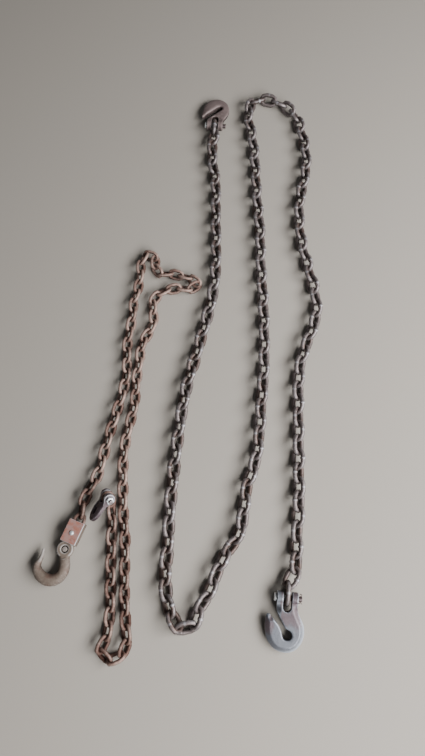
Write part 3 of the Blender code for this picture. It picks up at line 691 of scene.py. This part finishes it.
def weathered_steel(name, dark, light, rust, worn, rust_share, metallic, roughness):
    """Hot worked steel left outdoors: dark oxide, dust and painted top light on what faces up, rust in
    patches, bare rubbed edges.

    It gives a dull, mottled surface that is pale on its proud and upper faces and dark in its hollows and on
    its sides.
    The paleness is partly dust and wear and partly painted top light, and the darkness partly oxide and
    partly painted shade.
    The attributes tone and edge say how pale a piece is and how proud a spot on it stands.
    """
    # Blotches of oxide and dust are 7 mm across, and rust breaks out in patches about 26 mm across. Its
    # pits and grains are under 1 mm, and drawn 2 mm so that they show.
    material, tree, shader, (blotch, patch, grain) = new_material(
        name, metallic, light, ((7, 4.0, 0.62), (26, 3.0, 0.6), (2, 3.0, 0.7)))
    tone, edge = (
        add_node(tree, "Attribute", attribute_name=read).outputs["Fac"] for read in ("tone", "edge"))
    normal = add_node(tree, "TexCoord").outputs["Normal"]
    dust_and_top_light = add_node(tree, "SeparateXYZ", {0: normal}).outputs["Z"]
    # How pale, how rusty and how rubbed a spot is, and how high it stands, each a weighted sum. Paleness from
    # facing up and from standing proud is partly dust and partly painted top light, with painted shade in
    # hollows
    sums = []
    for terms in (
            ((dust_and_top_light, 0.42), (edge, 0.75), (blotch, 0.85), (tone, 0.45), (grain, 0.25)),
            ((patch, 1.0), (grain, 0.45), (edge, -0.25), (tone, -0.40)),
            ((edge, 1.0), (grain, 0.5), (blotch, 0.3)), ((grain, 1.0), (blotch, 1.0))):
        total = 0.0
        for value, weight in terms:
            total = add_node(
                tree, "Math", {0: value, 1: weight, 2: total}, operation="MULTIPLY_ADD").outputs[0]
        sums.append(total)
    pale, rusty, rubbed, height = sums
    rust_low = 0.56 - 0.36 * rust_share
    cover_with(tree, shader, dark, (
        (pale, 0.97, 1.63, 1.0, light), (rusty, rust_low, rust_low + 0.14, 0.30 + 0.5 * rust_share, rust),
        (rubbed, 1.05, 1.42, 0.7, worn)), (height, 0.55, 0.0007),
        (grain, 0.3, 0.7, roughness - 0.12, roughness + 0.12))
    return material


def painted_steel(name, paint, faded, bare, rust):
    """Red primer brushed on plate: faded and dusty in places, scuffed through to bare steel at its edges."""
    # Faded patches are about 16 mm across, and spots where rust comes through about 6 mm. The scuffs and
    # the paint's grain are under 1 mm, and drawn 2 mm so that they show.
    material, tree, shader, (fade, spots, grain) = new_material(
        name, 0.0, paint, ((16, 3.0, 0.6), (6, 4.0, 0.65), (2, 3.0, 0.7)))
    edge = add_node(tree, "Attribute", attribute_name="edge").outputs["Fac"]
    scuffed = add_node(tree, "Math", {0: grain, 1: 0.7, 2: edge}, operation="MULTIPLY_ADD").outputs[0]
    cover_with(tree, shader, paint, (
        (fade, 0.46, 0.60, 0.7, faded), (spots, 0.54, 0.68, 0.6, rust), (scuffed, 0.85, 1.15, 0.9, bare)),
        (grain, 0.4, 0.0005))
    shader.inputs["Roughness"].default_value = 0.75
    return material


def zinc_plated(name, zinc, dull):
    """Electroplated zinc on a turned fastener: a bright blue-white skin with dull blooms."""
    # Dull blooms about 4 mm across
    material, tree, shader, (bloom,) = new_material(name, 0.6, zinc, ((4, 3.0, 0.6),))
    cover_with(
        tree, shader, zinc, ((bloom, 0.46, 0.66, 0.7, dull),), (bloom, 0.2, 0.0003),
        (bloom, 0.35, 0.65, 0.28, 0.5))
    return material


# Each finish: what makes it, its colours, and for weathered steel its share of rust, how metallic it is
# and its roughness
FINISHES = {
    # Welded chain, oxidised grey with a little rust, dusty on top and with painted top light
    "weathered_chain_steel": (weathered_steel, "grey_dark grey_light grey_rust worn", 0.42, 0.55, 0.46),
    # Welded chain with dry brown rust all over, pale where its links rub
    "rusted_chain_steel": (weathered_steel, "rust_dark rust_light rust_orange rust_worn", 0.36, 0.40, 0.58),
    # Drop forging with blue grey scale under a brown film, bare on its edges, with a painted highlight on its
    # bowl's lit back
    "forged_hook_scale": (weathered_steel, "forged_dark forged forged_rust forged_worn", 0.50, 0.45, 0.45),
    # The same with dull brown scale
    "brown_hook_scale": (weathered_steel, "grey_dark forged_brown grey_rust brown_worn", 0.15, 0.25, 0.55),
    # The same with near black scale
    "dark_hook_scale": (weathered_steel, "scale_dark scale grey_rust worn", 0.10, 0.30, 0.50),
    # Turned steel, handled until it is pale
    "bright_pin_steel": (weathered_steel, "forged_dark pin grey_rust worn", 0.0, 0.45, 0.40),
    # Forging with dry tan rust, smooth where it turns and bears
    "tan_hook_rust": (weathered_steel, "tan_dark tan_rust rust_orange tan_worn", 0.30, 0.10, 0.65),
    "dusty_red_primer": (painted_steel, "primer primer_faded worn primer_rust"),
    "bright_zinc": (zinc_plated, "zinc pin"),
}


def finish(name):
    """The named finish, made the first time that a piece asks for it."""
    make, colours, *shares = FINISHES[name]
    known = bpy.data.materials.get(name)
    group = bpy.context.scene.chain_heap_colours
    return known or make(name, *[getattr(group, colour) for colour in colours.split()], *shares)


# Links


def link_mesh(name, chain, swell):
    """One welded link, long in X and flat in XY, of round bar that swells at the weld."""
    side = (chain.eye + chain.rod) / 2
    shoulder = (chain.pitch - chain.eye) / 2
    weld = 0.10 * chain.rod
    stops = []
    for end in (1, -1):
        for step in range(CROWN_STEPS + 1):
            turn = math.pi * (step / CROWN_STEPS - 0.5) + (0 if end > 0 else math.pi)
            # The bar is worn a little thin where the next link bears on it
            thin = 1 - 0.03 * (step == CROWN_STEPS // 2)
            stops.append((end * shoulder + side * math.cos(turn), side * math.sin(turn), turn, thin))
        if end > 0:
            for x, thick in ((3 * weld, 1), (weld, 1 + swell), (-weld, 1 + swell), (-3 * weld, 1)):
                stops.append((x, side, math.pi / 2, thick))
    bm = bmesh.new()
    loops = []
    for x, y, turn, scale in stops:
        outward = Vector((math.cos(turn), math.sin(turn), 0))
        heading = Vector((-math.sin(turn), math.cos(turn), 0))
        place = axes(outward, UP, heading, Vector((x, y, 0)))
        loops.append(add_ring(bm, place, chain.rod / 2 * scale, LINK_SIDES))
    for index, loop in enumerate(loops):
        bmesh.ops.bridge_loops(bm, edges=loops[index - 1] + loop)
    bmesh.ops.recalc_face_normals(bm, faces=bm.faces)
    return mesh_of(name, bm)


def resting_link(index, chain, spread, dice):
    """A link's frame, let down from the solid's square bar onto its own round one, with its weld on top."""
    centre, along, roll = chain.links[index]
    arm = (chain.eye + chain.rod) / 2
    # The links at both ends keep the solids' place, and the next ones come free of it one by one
    free = min(1.0, min(index, len(chain.links) - 1 - index) / 4)
    jitter = dice.uniform(-spread, spread) * free
    sink = chain.rod / 2 * (CAD_BAR_CORNER - 1)
    lift = arm * (abs(math.sin(roll + jitter)) - abs(math.sin(roll)))
    place = link_frame(centre + Vector((0, 0, lift - sink * free)), along, roll + jitter)
    if place.col[1].z < 0:
        place = place @ Matrix.Rotation(math.pi, 4, "X")
    return place @ Matrix.Rotation(dice.uniform(-spread, spread) / 2 * free, 4, "Z")


def build_links(which, nodes, finish_name, sizes, seed, drift, swell):
    """One piece for each stretch of a chain. Its links differ in tone, and are dark towards their eyes,
    partly oxide and partly painted shade.

    The drift says how much paler a link is for each metre that it lies along that way.
    """
    chain = lay_chain(sizes, which)
    dice = random.Random(seed)
    meshes = [link_mesh(which, chain, bead) for bead in (0.0, swell)]
    side = (chain.eye + chain.rod) / 2
    # The bar's outer face stands proud and its face towards the link's eye lies in a hollow, darker there:
    # partly oxide and partly painted shade. The weld bead stands proud too
    proud = []
    for vert in meshes[0].vertices:
        from_crown = math.hypot(max(0.0, abs(vert.co.x) - (chain.pitch - chain.eye) / 2), vert.co.y)
        on_weld = abs(vert.co.x) < 0.11 * chain.rod
        proud.append(0.5 + 0.5 * (from_crown - side) / chain.rod + 0.9 * swell * on_weld)
    ends = chain.starts[1:] + [len(chain.links)]
    for number, (first, end) in enumerate(zip(chain.starts, ends), start=1):
        bm = bmesh.new()
        tone = bm.verts.layers.float.new("tone")
        edge = bm.verts.layers.float.new("edge")
        for index in range(first, end):
            place = resting_link(index, chain, sizes.roll_spread, dice)
            known = len(bm.verts)
            bm.from_mesh(meshes[dice.random() < sizes.welds_up])
            bm.verts.ensure_lookup_table()
            fresh = bm.verts[known:]
            shade = dice.uniform(0.0, 0.8) + drift.dot(place.translation)
            for vert, stand in zip(fresh, proud):
                vert[tone] = shade
                vert[edge] = stand
            bmesh.ops.transform(bm, matrix=place, verts=fresh)
            sunk = LINKS_ABOVE - min(vert.co.z for vert in fresh)
            bmesh.ops.translate(bm, verts=fresh, vec=(0, 0, max(0.0, sunk)))
        bind_piece(mesh_of(f"{which}_links_{number:02d}", bm), finish_name, f"{nodes}_{number:02d}")
    for mesh in meshes:
        bpy.data.meshes.remove(mesh)


# Hooks, pins and bolts


def crown_plate(mesh, half, outer, throat, shape, ear_line):
    """Works a forged plate down towards its outlines, and leaves the ears above ear_line alone."""
    spots = mesh_spots(mesh)
    shares = []
    for line, reach, wall in zip((outer, throat), shape.reaches, shape.walls):
        near = np.clip(line_distance(spots[:, :2], line) / reach, 0, 1)
        rise = (1 - shape.roundness) * near + shape.roundness * np.sqrt(1 - (1 - near) ** 2)
        shares.append(wall + (1 - wall) * rise)
    ears = np.clip((spots[:, 1] - ear_line) / EAR_BLEND + 1, 0, 1)
    share = np.minimum(*shares) * (1 - ears) + ears
    spots[:, 2] = np.clip(spots[:, 2], -2 * half, 2 * half) * share
    set_spots(mesh, spots)


def clevis_hook(name, shape, thick, clevis, ear, pin, rod, voxel):
    """A forged clevis hook: crowned bowl, two round ears with the end link's slot, and the pin's hole."""
    outer, throat = (
        [p / 1000 for p in smooth_line([Vector(p) for p in (line[0], *line, line[-1])], 5)]
        for line in (shape.outer, shape.throat))
    half = thick / 2
    gap = rod / 2 + CLEVIS_PLAY
    depth = pin + PIN_PLAY + rod + shape.room
    mesh = forge(name, forged_blank("blank", outer + throat, half), (
        (cylinder("barrel", ear, clevis, (0, 0, 0), ALONG_PIN, 48), "UNION"),
        (scratch_object("slot", box((-gap, gap - depth, -CUT), (gap, CUT, CUT))), "DIFFERENCE"),
        (cylinder("slot_end", gap, CUT, (0, gap - depth, 0), sides=48), "DIFFERENCE"),
        (cylinder("hole", pin + 2 * TOUCH, CUT, (0, 0, 0), ALONG_PIN, 48), "DIFFERENCE")), voxel)
    crown_plate(mesh, half, outer, throat, shape, -0.9 * ear)
    smooth_mesh(mesh, 4)
    # Where the marks of work and wear lie, and where light and shade are painted, in radii of the ear across
    # the hook and along it
    spots = mesh_spots(mesh)
    across, along = spots[:, 0] / ear, spots[:, 1] / ear
    rim = 1 - np.clip(line_distance(spots[:, :2], outer) / shape.reaches[0], 0, 1)
    # The bowl's back is paler on its right and lower side, the side that faces the key lamp: partly rubbed
    # steel and partly painted highlight
    back = np.clip(-1 - along, 0, 1) * np.clip(across / 3 - along / 6 - 0.5, 0, 1)
    # Proud spots are paler and hollows darker, partly wear and oxide and partly painted shade
    set_values(mesh, "edge", (
        0.85 * stand_out(mesh) + shape.rub[0] * rim * back + shape.rub[1] * np.clip(along + 1.5, 0, 1)))
    shank = np.clip((along + 4.5) / 1.3, 0, 1) * np.clip(2.5 + 2 * across, 0, 1)
    # The claw takes the shank's tone towards its tip; on the near hook this darkens it as painted shade on
    # the bevel turned from the lamp
    claw = 0.8 * np.clip((along + 6.6) / 2.2, 0, 1) * np.clip(-1.5 - across, 0, 1)
    bowl_tone, shank_tone = shape.tones
    set_values(mesh, "tone", bowl_tone + (shank_tone - bowl_tone) * np.maximum(shank, claw))
    return mesh


def headed_shank(name, clevis, radius, past, head, head_thick, head_sides, bevels, cuts=()):
    """A pin or bolt through a hook's ears, with its head on the hook's left."""
    root = TOUCH + head_thick / 2
    length = clevis + root + past
    shank = cylinder(
        "shank", radius, length, (length / 2 - clevis / 2 - root, 0, 0), ALONG_PIN, end_bevel=bevels[0])
    cap = cylinder("cap", head, head_thick, (-clevis / 2 - root, 0, 0), ALONG_PIN, head_sides, bevels[1])
    return forge(name, shank, ((cap, "UNION"), *cuts))


def split_pin(name, out, pin_radius):
    """A split pin: a round eye on one side of its pin and two legs bent apart on the other."""
    wire = SPLIT_PIN_RADIUS
    eye = 1.9 * wire
    eye_y = SPLIT_PIN_LENGTH / 2 - eye
    runs = []
    for side in (-1, 1):
        runs.append([Vector((out + x * wire * side, y, z * side)) for x, y, z in (
            (0.2, eye_y - 0.6 * eye, 0), (0.45, pin_radius * 0.6, 0), (0.45, -pin_radius - 0.0006, 0),
            (1.2, -pin_radius - 0.0024, 0.0002), (2.6, -pin_radius - 0.0036, 0.0005))])
    turns = [math.radians(-65 + 310 * step / 8) for step in range(9)]
    runs.append([
        Vector((out + eye * math.sin(turn) * 0.9, eye_y - eye * math.cos(turn), 0)) for turn in turns])
    bm = bmesh.new()
    for spots in runs:
        add_bar(bm, [(spot, way, 0.55 * wire, 0.55 * wire) for spot, way in zip(spots, headings(spots))], 8)
    return mesh_of(name, bm)


# The coupling


def rivet_hole():
    return cylinder("rivet_hole", RIVET_RADIUS + TOUCH, CUT / 2, (0, RIVET_Y, 0))


def coupling_base(gap):
    """The lower plate with its tongue, the stud for the hook's ring and the post for the end link."""
    outline = [Vector(p) for p in (
        (PLATE_HALF, PLATE_END), (-PLATE_HALF, PLATE_END), (-PLATE_HALF, PLATE_LOW),
        (-TONGUE_RADIUS, PLATE_LOW - TONGUE_ROOT))]
    for step in range(13):
        turn = math.pi * (1 + step / 12)
        outline.append(
            Vector((TONGUE_RADIUS * math.cos(turn), TONGUE_RADIUS * math.sin(turn) - COUPLER_REACH)))
    outline += [Vector((TONGUE_RADIUS, PLATE_LOW - TONGUE_ROOT)), Vector((PLATE_HALF, PLATE_LOW))]
    plate = forged_blank("plate", outline, BASE_THICK / 2)
    plate.data.transform(Matrix.Translation((0, 0, -gap - BASE_THICK / 2)))
    edges = plate.modifiers.new("edges", "BEVEL")
    edges.width = 0.0006
    edges.segments = 2
    edges.limit_method = "ANGLE"
    upright = 2 * gap + BASE_THICK / 2 - TOUCH
    middle = -gap - BASE_THICK / 2 + upright / 2
    mesh = forge("coupling_base", plate, (
        (cylinder("stud", STUD_RADIUS, upright, (0, -COUPLER_REACH, middle), end_bevel=0.0010), "UNION"),
        (cylinder("post", POST_RADIUS, upright, (0, 0, middle)), "UNION"), (rivet_hole(), "DIFFERENCE")))
    spots = mesh_spots(mesh)
    stud_end = (spots[:, 2] > 0) & (spots[:, 1] < PLATE_LOW)
    set_values(mesh, "edge", 0.45 + 0.35 * stud_end)
    set_values(mesh, "tone", 0.9)
    return mesh


def coupling_cover(gap, scuff):
    """The upper plate, scuffed along its edges."""
    bm = box((-PLATE_HALF, PLATE_LOW, gap), (PLATE_HALF, PLATE_END, gap + COVER_THICK))
    bevelled(bm, list(bm.edges), 0.0007)
    plate = scratch_object("plate", bm)
    add_even_mesh(plate, 0.0006)
    mesh = forge("coupling_cover", plate, ((rivet_hole(), "DIFFERENCE"),))
    smooth_mesh(mesh, 2)
    x, y, _ = mesh_spots(mesh).T
    inside = np.minimum(PLATE_HALF - np.abs(x), np.minimum(y - PLATE_LOW, PLATE_END - y))
    set_values(mesh, "edge", np.clip(1 - inside / scuff, 0, 1))
    return mesh


def coupling_rivet(gap):
    """The rivet through both plates, with a low domed head on the cover."""
    length = 2 * gap + BASE_THICK + COVER_THICK + TOUCH
    shank = cylinder(
        "shank", RIVET_RADIUS, length, (0, RIVET_Y, (COVER_THICK - BASE_THICK + TOUCH) / 2))
    bm = bmesh.new()
    bmesh.ops.create_uvsphere(bm, u_segments=32, v_segments=16, radius=RIVET_HEAD_RADIUS)
    bmesh.ops.scale(bm, verts=bm.verts, vec=(1, 1, RIVET_HEAD_DOME))
    bmesh.ops.bisect_plane(
        bm, geom=bm.verts[:] + bm.edges[:] + bm.faces[:], plane_co=(0, 0, 0), plane_no=-UP,
        clear_outer=True)
    bmesh.ops.edgeloop_fill(bm, edges=[e for e in bm.edges if e.is_boundary])
    bmesh.ops.translate(bm, verts=bm.verts, vec=(0, RIVET_Y, gap + COVER_THICK + TOUCH))
    return forge("bright_rivet", shank, ((scratch_object("dome", bm), "UNION"),))


# Operators


class CHAINHEAP_OT_stage(bpy.types.Operator):
    """Add the camera, the pale floor and the soft lights"""

    bl_idname = "chainheap.stage"
    bl_label = "Stage"

    def execute(self, context):
        scene = context.scene
        camera = bpy.data.cameras.new("photo_view")
        camera.sensor_fit = "VERTICAL"
        camera.sensor_height = VIEW_FILM
        camera.lens = VIEW_LENS
        view = new_object("photo_view", camera)
        view.location = Vector((0, 0, VIEW_HEIGHT)) - MIDDLE
        view.rotation_euler = (VIEW_TILT, 0, 0)
        scene.camera = view
        bm = bmesh.new()
        bmesh.ops.create_grid(bm, x_segments=1, y_segments=1, size=FLOOR_HALF)
        mesh = mesh_of("floor", bm)
        colour = tuple(scene.chain_heap_colours.floor)
        material, _, shader, _ = new_material("plain_floor", 0.0, colour)
        shader.inputs["Base Color"].default_value = colour
        shader.inputs["Roughness"].default_value = FLOOR_ROUGHNESS
        mesh.materials.append(material)
        new_object("floor", mesh)
        for name, spot, width, height, power in LAMPS:
            light = bpy.data.lights.new(name, "AREA")
            light.shape = "RECTANGLE"
            light.size = width
            light.size_y = height
            light.energy = power
            lamp = new_object(name, light)
            lamp.location = spot
            lamp.rotation_euler = (-Vector(spot)).to_track_quat("-Z", "Y").to_euler()
        world = bpy.data.worlds.new("soft_room")
        world.use_nodes = True
        background = world.node_tree.nodes["Background"]
        background.inputs["Color"].default_value = srgb(ROOM_COLOUR)
        background.inputs["Strength"].default_value = ROOM_STRENGTH
        scene.world = world
        return {"FINISHED"}


class CHAINHEAP_OT_grey_links(bpy.types.Operator):
    """Add the links of the grey chain"""

    bl_idname = "chainheap.grey_links"
    bl_label = "Grey Links"

    def execute(self, context):
        s = context.scene.chain_heap_sizes
        drift = Vector((1.0, 0, 0))
        build_links("grey", "log_chain", "weathered_chain_steel", s, s.seed, drift, s.weld_swell)
        return {"FINISHED"}


class CHAINHEAP_OT_rusty_links(bpy.types.Operator):
    """Add the links of the rusty chain"""

    bl_idname = "chainheap.rusty_links"
    bl_label = "Rusty Links"

    def execute(self, context):
        s = context.scene.chain_heap_sizes
        drift = Vector((0, 0.9, 0))
        build_links("rusty", "rusty_chain", "rusted_chain_steel", s, s.seed + 1, drift, 0.3 * s.weld_swell)
        return {"FINISHED"}


class CHAINHEAP_OT_log_hooks(bpy.types.Operator):
    """Add the grey chain's two forged clevis hooks"""

    bl_idname = "chainheap.log_hooks"
    bl_label = "Log Hooks"

    def execute(self, context):
        s = context.scene.chain_heap_sizes
        frames = log_hook_frames(s)
        for where, shape, finish_name in (
                ("near", NEAR_HOOK, "forged_hook_scale"), ("far", FAR_HOOK, "brown_hook_scale")):
            mesh = clevis_hook(
                f"{where}_hook", shape, s.log_hook_thick, s.log_clevis_width, s.log_ear_radius,
                s.log_pin_radius, s.grey_rod, s.voxel)
            bind_piece(mesh, finish_name, f"log_hook_{where}", frames[where])
        return {"FINISHED"}


class CHAINHEAP_OT_hook_pins(bpy.types.Operator):
    """Add the headed pins and split pins of the grey chain's hooks"""

    bl_idname = "chainheap.hook_pins"
    bl_label = "Hook Pins"

    def execute(self, context):
        s = context.scene.chain_heap_sizes
        radius = s.log_pin_radius
        out = s.log_clevis_width / 2 + radius
        for where, place in log_hook_frames(s).items():
            hole = cylinder("hole", SPLIT_PIN_RADIUS + TOUCH, 4 * radius, (out, 0, 0), (0, 1, 0), 16)
            mesh = headed_shank(
                f"{where}_pin", s.log_clevis_width, radius, 1.6 * radius, PIN_HEAD_RADIUS, PIN_HEAD_THICK, 40,
                (0.0009, 0.0012), ((hole, "DIFFERENCE"),))
            head_side = mesh_spots(mesh)[:, 0] < 0
            set_values(mesh, "edge", np.where(head_side, 0.8, 0.0))
            set_values(mesh, "tone", np.where(head_side, 0.9, -0.8))
            bind_piece(mesh, "bright_pin_steel", f"log_pin_{where}", place, 40)
            mesh = split_pin(f"{where}_split_pin", out, radius)
            bind_piece(mesh, "dark_hook_scale", f"log_cotter_{where}", place)
        return {"FINISHED"}


class CHAINHEAP_OT_grab_hook(bpy.types.Operator):
    """Add the rusty chain's clevis hook with its bolt and nut"""

    bl_idname = "chainheap.grab_hook"
    bl_label = "Grab Hook"

    def execute(self, context):
        s = context.scene.chain_heap_sizes
        place = grab_hook_frame(s)
        hook = clevis_hook(
            "folded_hook", GRAB_HOOK, s.grab_hook_thick, s.grab_clevis_width, s.grab_ear_radius,
            s.grab_bolt_radius, s.rusty_rod, s.voxel * 0.8)
        bind_piece(hook, "dark_hook_scale", "grab_hook", place)
        bolt = headed_shank(
            "folded_hook_bolt", s.grab_clevis_width, s.grab_bolt_radius, NUT_THICK + THREAD_END, NUT_RADIUS,
            BOLT_HEAD_THICK, 6, (0.0008, 0.0006))
        # The bolt is paler where it stands proud and darker in its hollows, partly wear and partly painted
        # shade
        set_values(bolt, "edge", stand_out(bolt, 1))
        set_values(bolt, "tone", 0.6)
        bind_piece(bolt, "weathered_chain_steel", "grab_bolt", place, 35)
        middle = (s.grab_clevis_width / 2 + TOUCH + NUT_THICK / 2, 0, 0)
        blank = cylinder("blank", NUT_RADIUS, NUT_THICK, middle, ALONG_PIN, 6, 0.0007)
        thread = cylinder("thread", s.grab_bolt_radius + TOUCH, 2 * NUT_THICK, middle, ALONG_PIN)
        nut = forge("zinc_nut", blank, ((thread, "DIFFERENCE"),))
        bind_piece(nut, "bright_zinc", "grab_nut", place, 35)
        return {"FINISHED"}


class CHAINHEAP_OT_coupling(bpy.types.Operator):
    """Add the coupling's base, painted cover and rivet"""

    bl_idname = "chainheap.coupling"
    bl_label = "Coupling"

    def execute(self, context):
        s = context.scene.chain_heap_sizes
        place = coupler_frame(s)
        gap = s.eye_ring_thick / 2 + TOUCH
        for mesh, finish_name, node, sharp in (
                (coupling_base(gap), "tan_hook_rust", "coupler_base", 35),
                (coupling_cover(gap, s.scuff), "dusty_red_primer", "coupler_cover", None),
                (coupling_rivet(gap), "bright_zinc", "coupler_rivet", 40)):
            bind_piece(mesh, finish_name, node, place, sharp)
        return {"FINISHED"}


class CHAINHEAP_OT_eye_hook(bpy.types.Operator):
    """Add the large round-barred eye hook"""

    bl_idname = "chainheap.eye_hook"
    bl_label = "Eye Hook"

    def execute(self, context):
        s = context.scene.chain_heap_sizes
        turn = Matrix.Rotation(EYE_HOOK_TURN, 4, "Z")
        place = coupler_frame(s) @ Matrix.Translation((0, -COUPLER_REACH, 0)) @ turn
        ends = [EYE_HOOK_BAR[0], *EYE_HOOK_BAR, EYE_HOOK_BAR[-1]]
        line = smooth_line([Vector((x, y, wide)) for x, y, wide, _ in ends], 3)
        heights = smooth_line([Vector((x, y, high)) for x, y, _, high in ends], 3)
        bm = bmesh.new()
        add_bar(bm, [
            (Vector((spot.x, spot.y, 0)) / 1000, Vector((way.x, way.y, 0)), spot.z / 1000, tall.z / 1000)
            for spot, way, tall in zip(line, headings(line), heights)], 24)
        # The bar is cut down to the ring's height round the ring
        wide, low, deep, half = 0.03, -s.eye_ring_radius - 0.001, 0.05, s.eye_ring_thick / 2
        mesh = forge("lifting_hook", scratch_object("bar", bm), (
            (scratch_object("upper_step", box((-wide, low, half), (wide, wide, deep))), "DIFFERENCE"),
            (scratch_object("lower_step", box((-wide, low, -deep), (wide, wide, -half))), "DIFFERENCE"),
            (cylinder("ring", s.eye_ring_radius, 2 * half - 0.0002, (0, 0, 0), sides=64, end_bevel=0.0022),
             "UNION"),
            (cylinder("hole", s.eye_ring_hole, CUT / 2, (0, 0, 0), sides=48), "DIFFERENCE")), s.voxel * 0.9)
        smooth_mesh(mesh, 8)
        # The hook is paler where it stands proud and darker in its hollows, partly wear and oxide and partly
        # painted shade
        set_values(mesh, "edge", stand_out(mesh))
        x, y, _ = mesh_spots(mesh).T
        tip_x, tip_y = EYE_HOOK_BAR[-1][0] / 1000, EYE_HOOK_BAR[-1][1] / 1000
        ring_gap = np.hypot(x, y) - s.eye_ring_radius
        tip_gap = np.hypot(x - tip_x, y - tip_y)
        bare = np.clip(np.maximum(1 - ring_gap / 0.002, 1.6 - tip_gap / 0.012), 0, 1)
        set_values(mesh, "tone", 0.45 + 1.6 * bare)
        bind_piece(mesh, "tan_hook_rust", "eye_hook", place)
        return {"FINISHED"}


class CHAINHEAP_PT_panel(bpy.types.Panel):
    """Panel that lists the sizes, the colours and the operators."""

    bl_idname = "CHAINHEAP_PT_panel"
    bl_label = "Chain Heap"
    bl_space_type = "VIEW_3D"
    bl_region_type = "UI"
    bl_category = "Chain Heap"

    def draw(self, context):
        for group in (context.scene.chain_heap_sizes, context.scene.chain_heap_colours):
            column = self.layout.column(align=True)
            for name in group.__annotations__:
                column.prop(group, name)
        column = self.layout.column(align=True)
        for operator in OPERATORS:
            column.operator(operator.bl_idname)


OPERATORS = (
    CHAINHEAP_OT_stage, CHAINHEAP_OT_grey_links, CHAINHEAP_OT_rusty_links, CHAINHEAP_OT_log_hooks,
    CHAINHEAP_OT_hook_pins, CHAINHEAP_OT_grab_hook, CHAINHEAP_OT_coupling, CHAINHEAP_OT_eye_hook)
CLASSES = (ChainHeapSizes, ChainHeapColours, *OPERATORS, CHAINHEAP_PT_panel)


def register():
    for made in CLASSES:
        bpy.utils.register_class(made)
    bpy.types.Scene.chain_heap_sizes = PointerProperty(type=ChainHeapSizes)
    bpy.types.Scene.chain_heap_colours = PointerProperty(type=ChainHeapColours)


def unregister():
    del bpy.types.Scene.chain_heap_colours
    del bpy.types.Scene.chain_heap_sizes
    for made in reversed(CLASSES):
        bpy.utils.unregister_class(made)


def main():
    register()
    bpy.ops.chainheap.stage()
    bpy.ops.chainheap.grey_links()
    bpy.ops.chainheap.rusty_links()
    bpy.ops.chainheap.log_hooks()
    bpy.ops.chainheap.hook_pins()
    bpy.ops.chainheap.grab_hook()
    bpy.ops.chainheap.coupling()
    bpy.ops.chainheap.eye_hook()


if __name__ == "__main__":
    main()
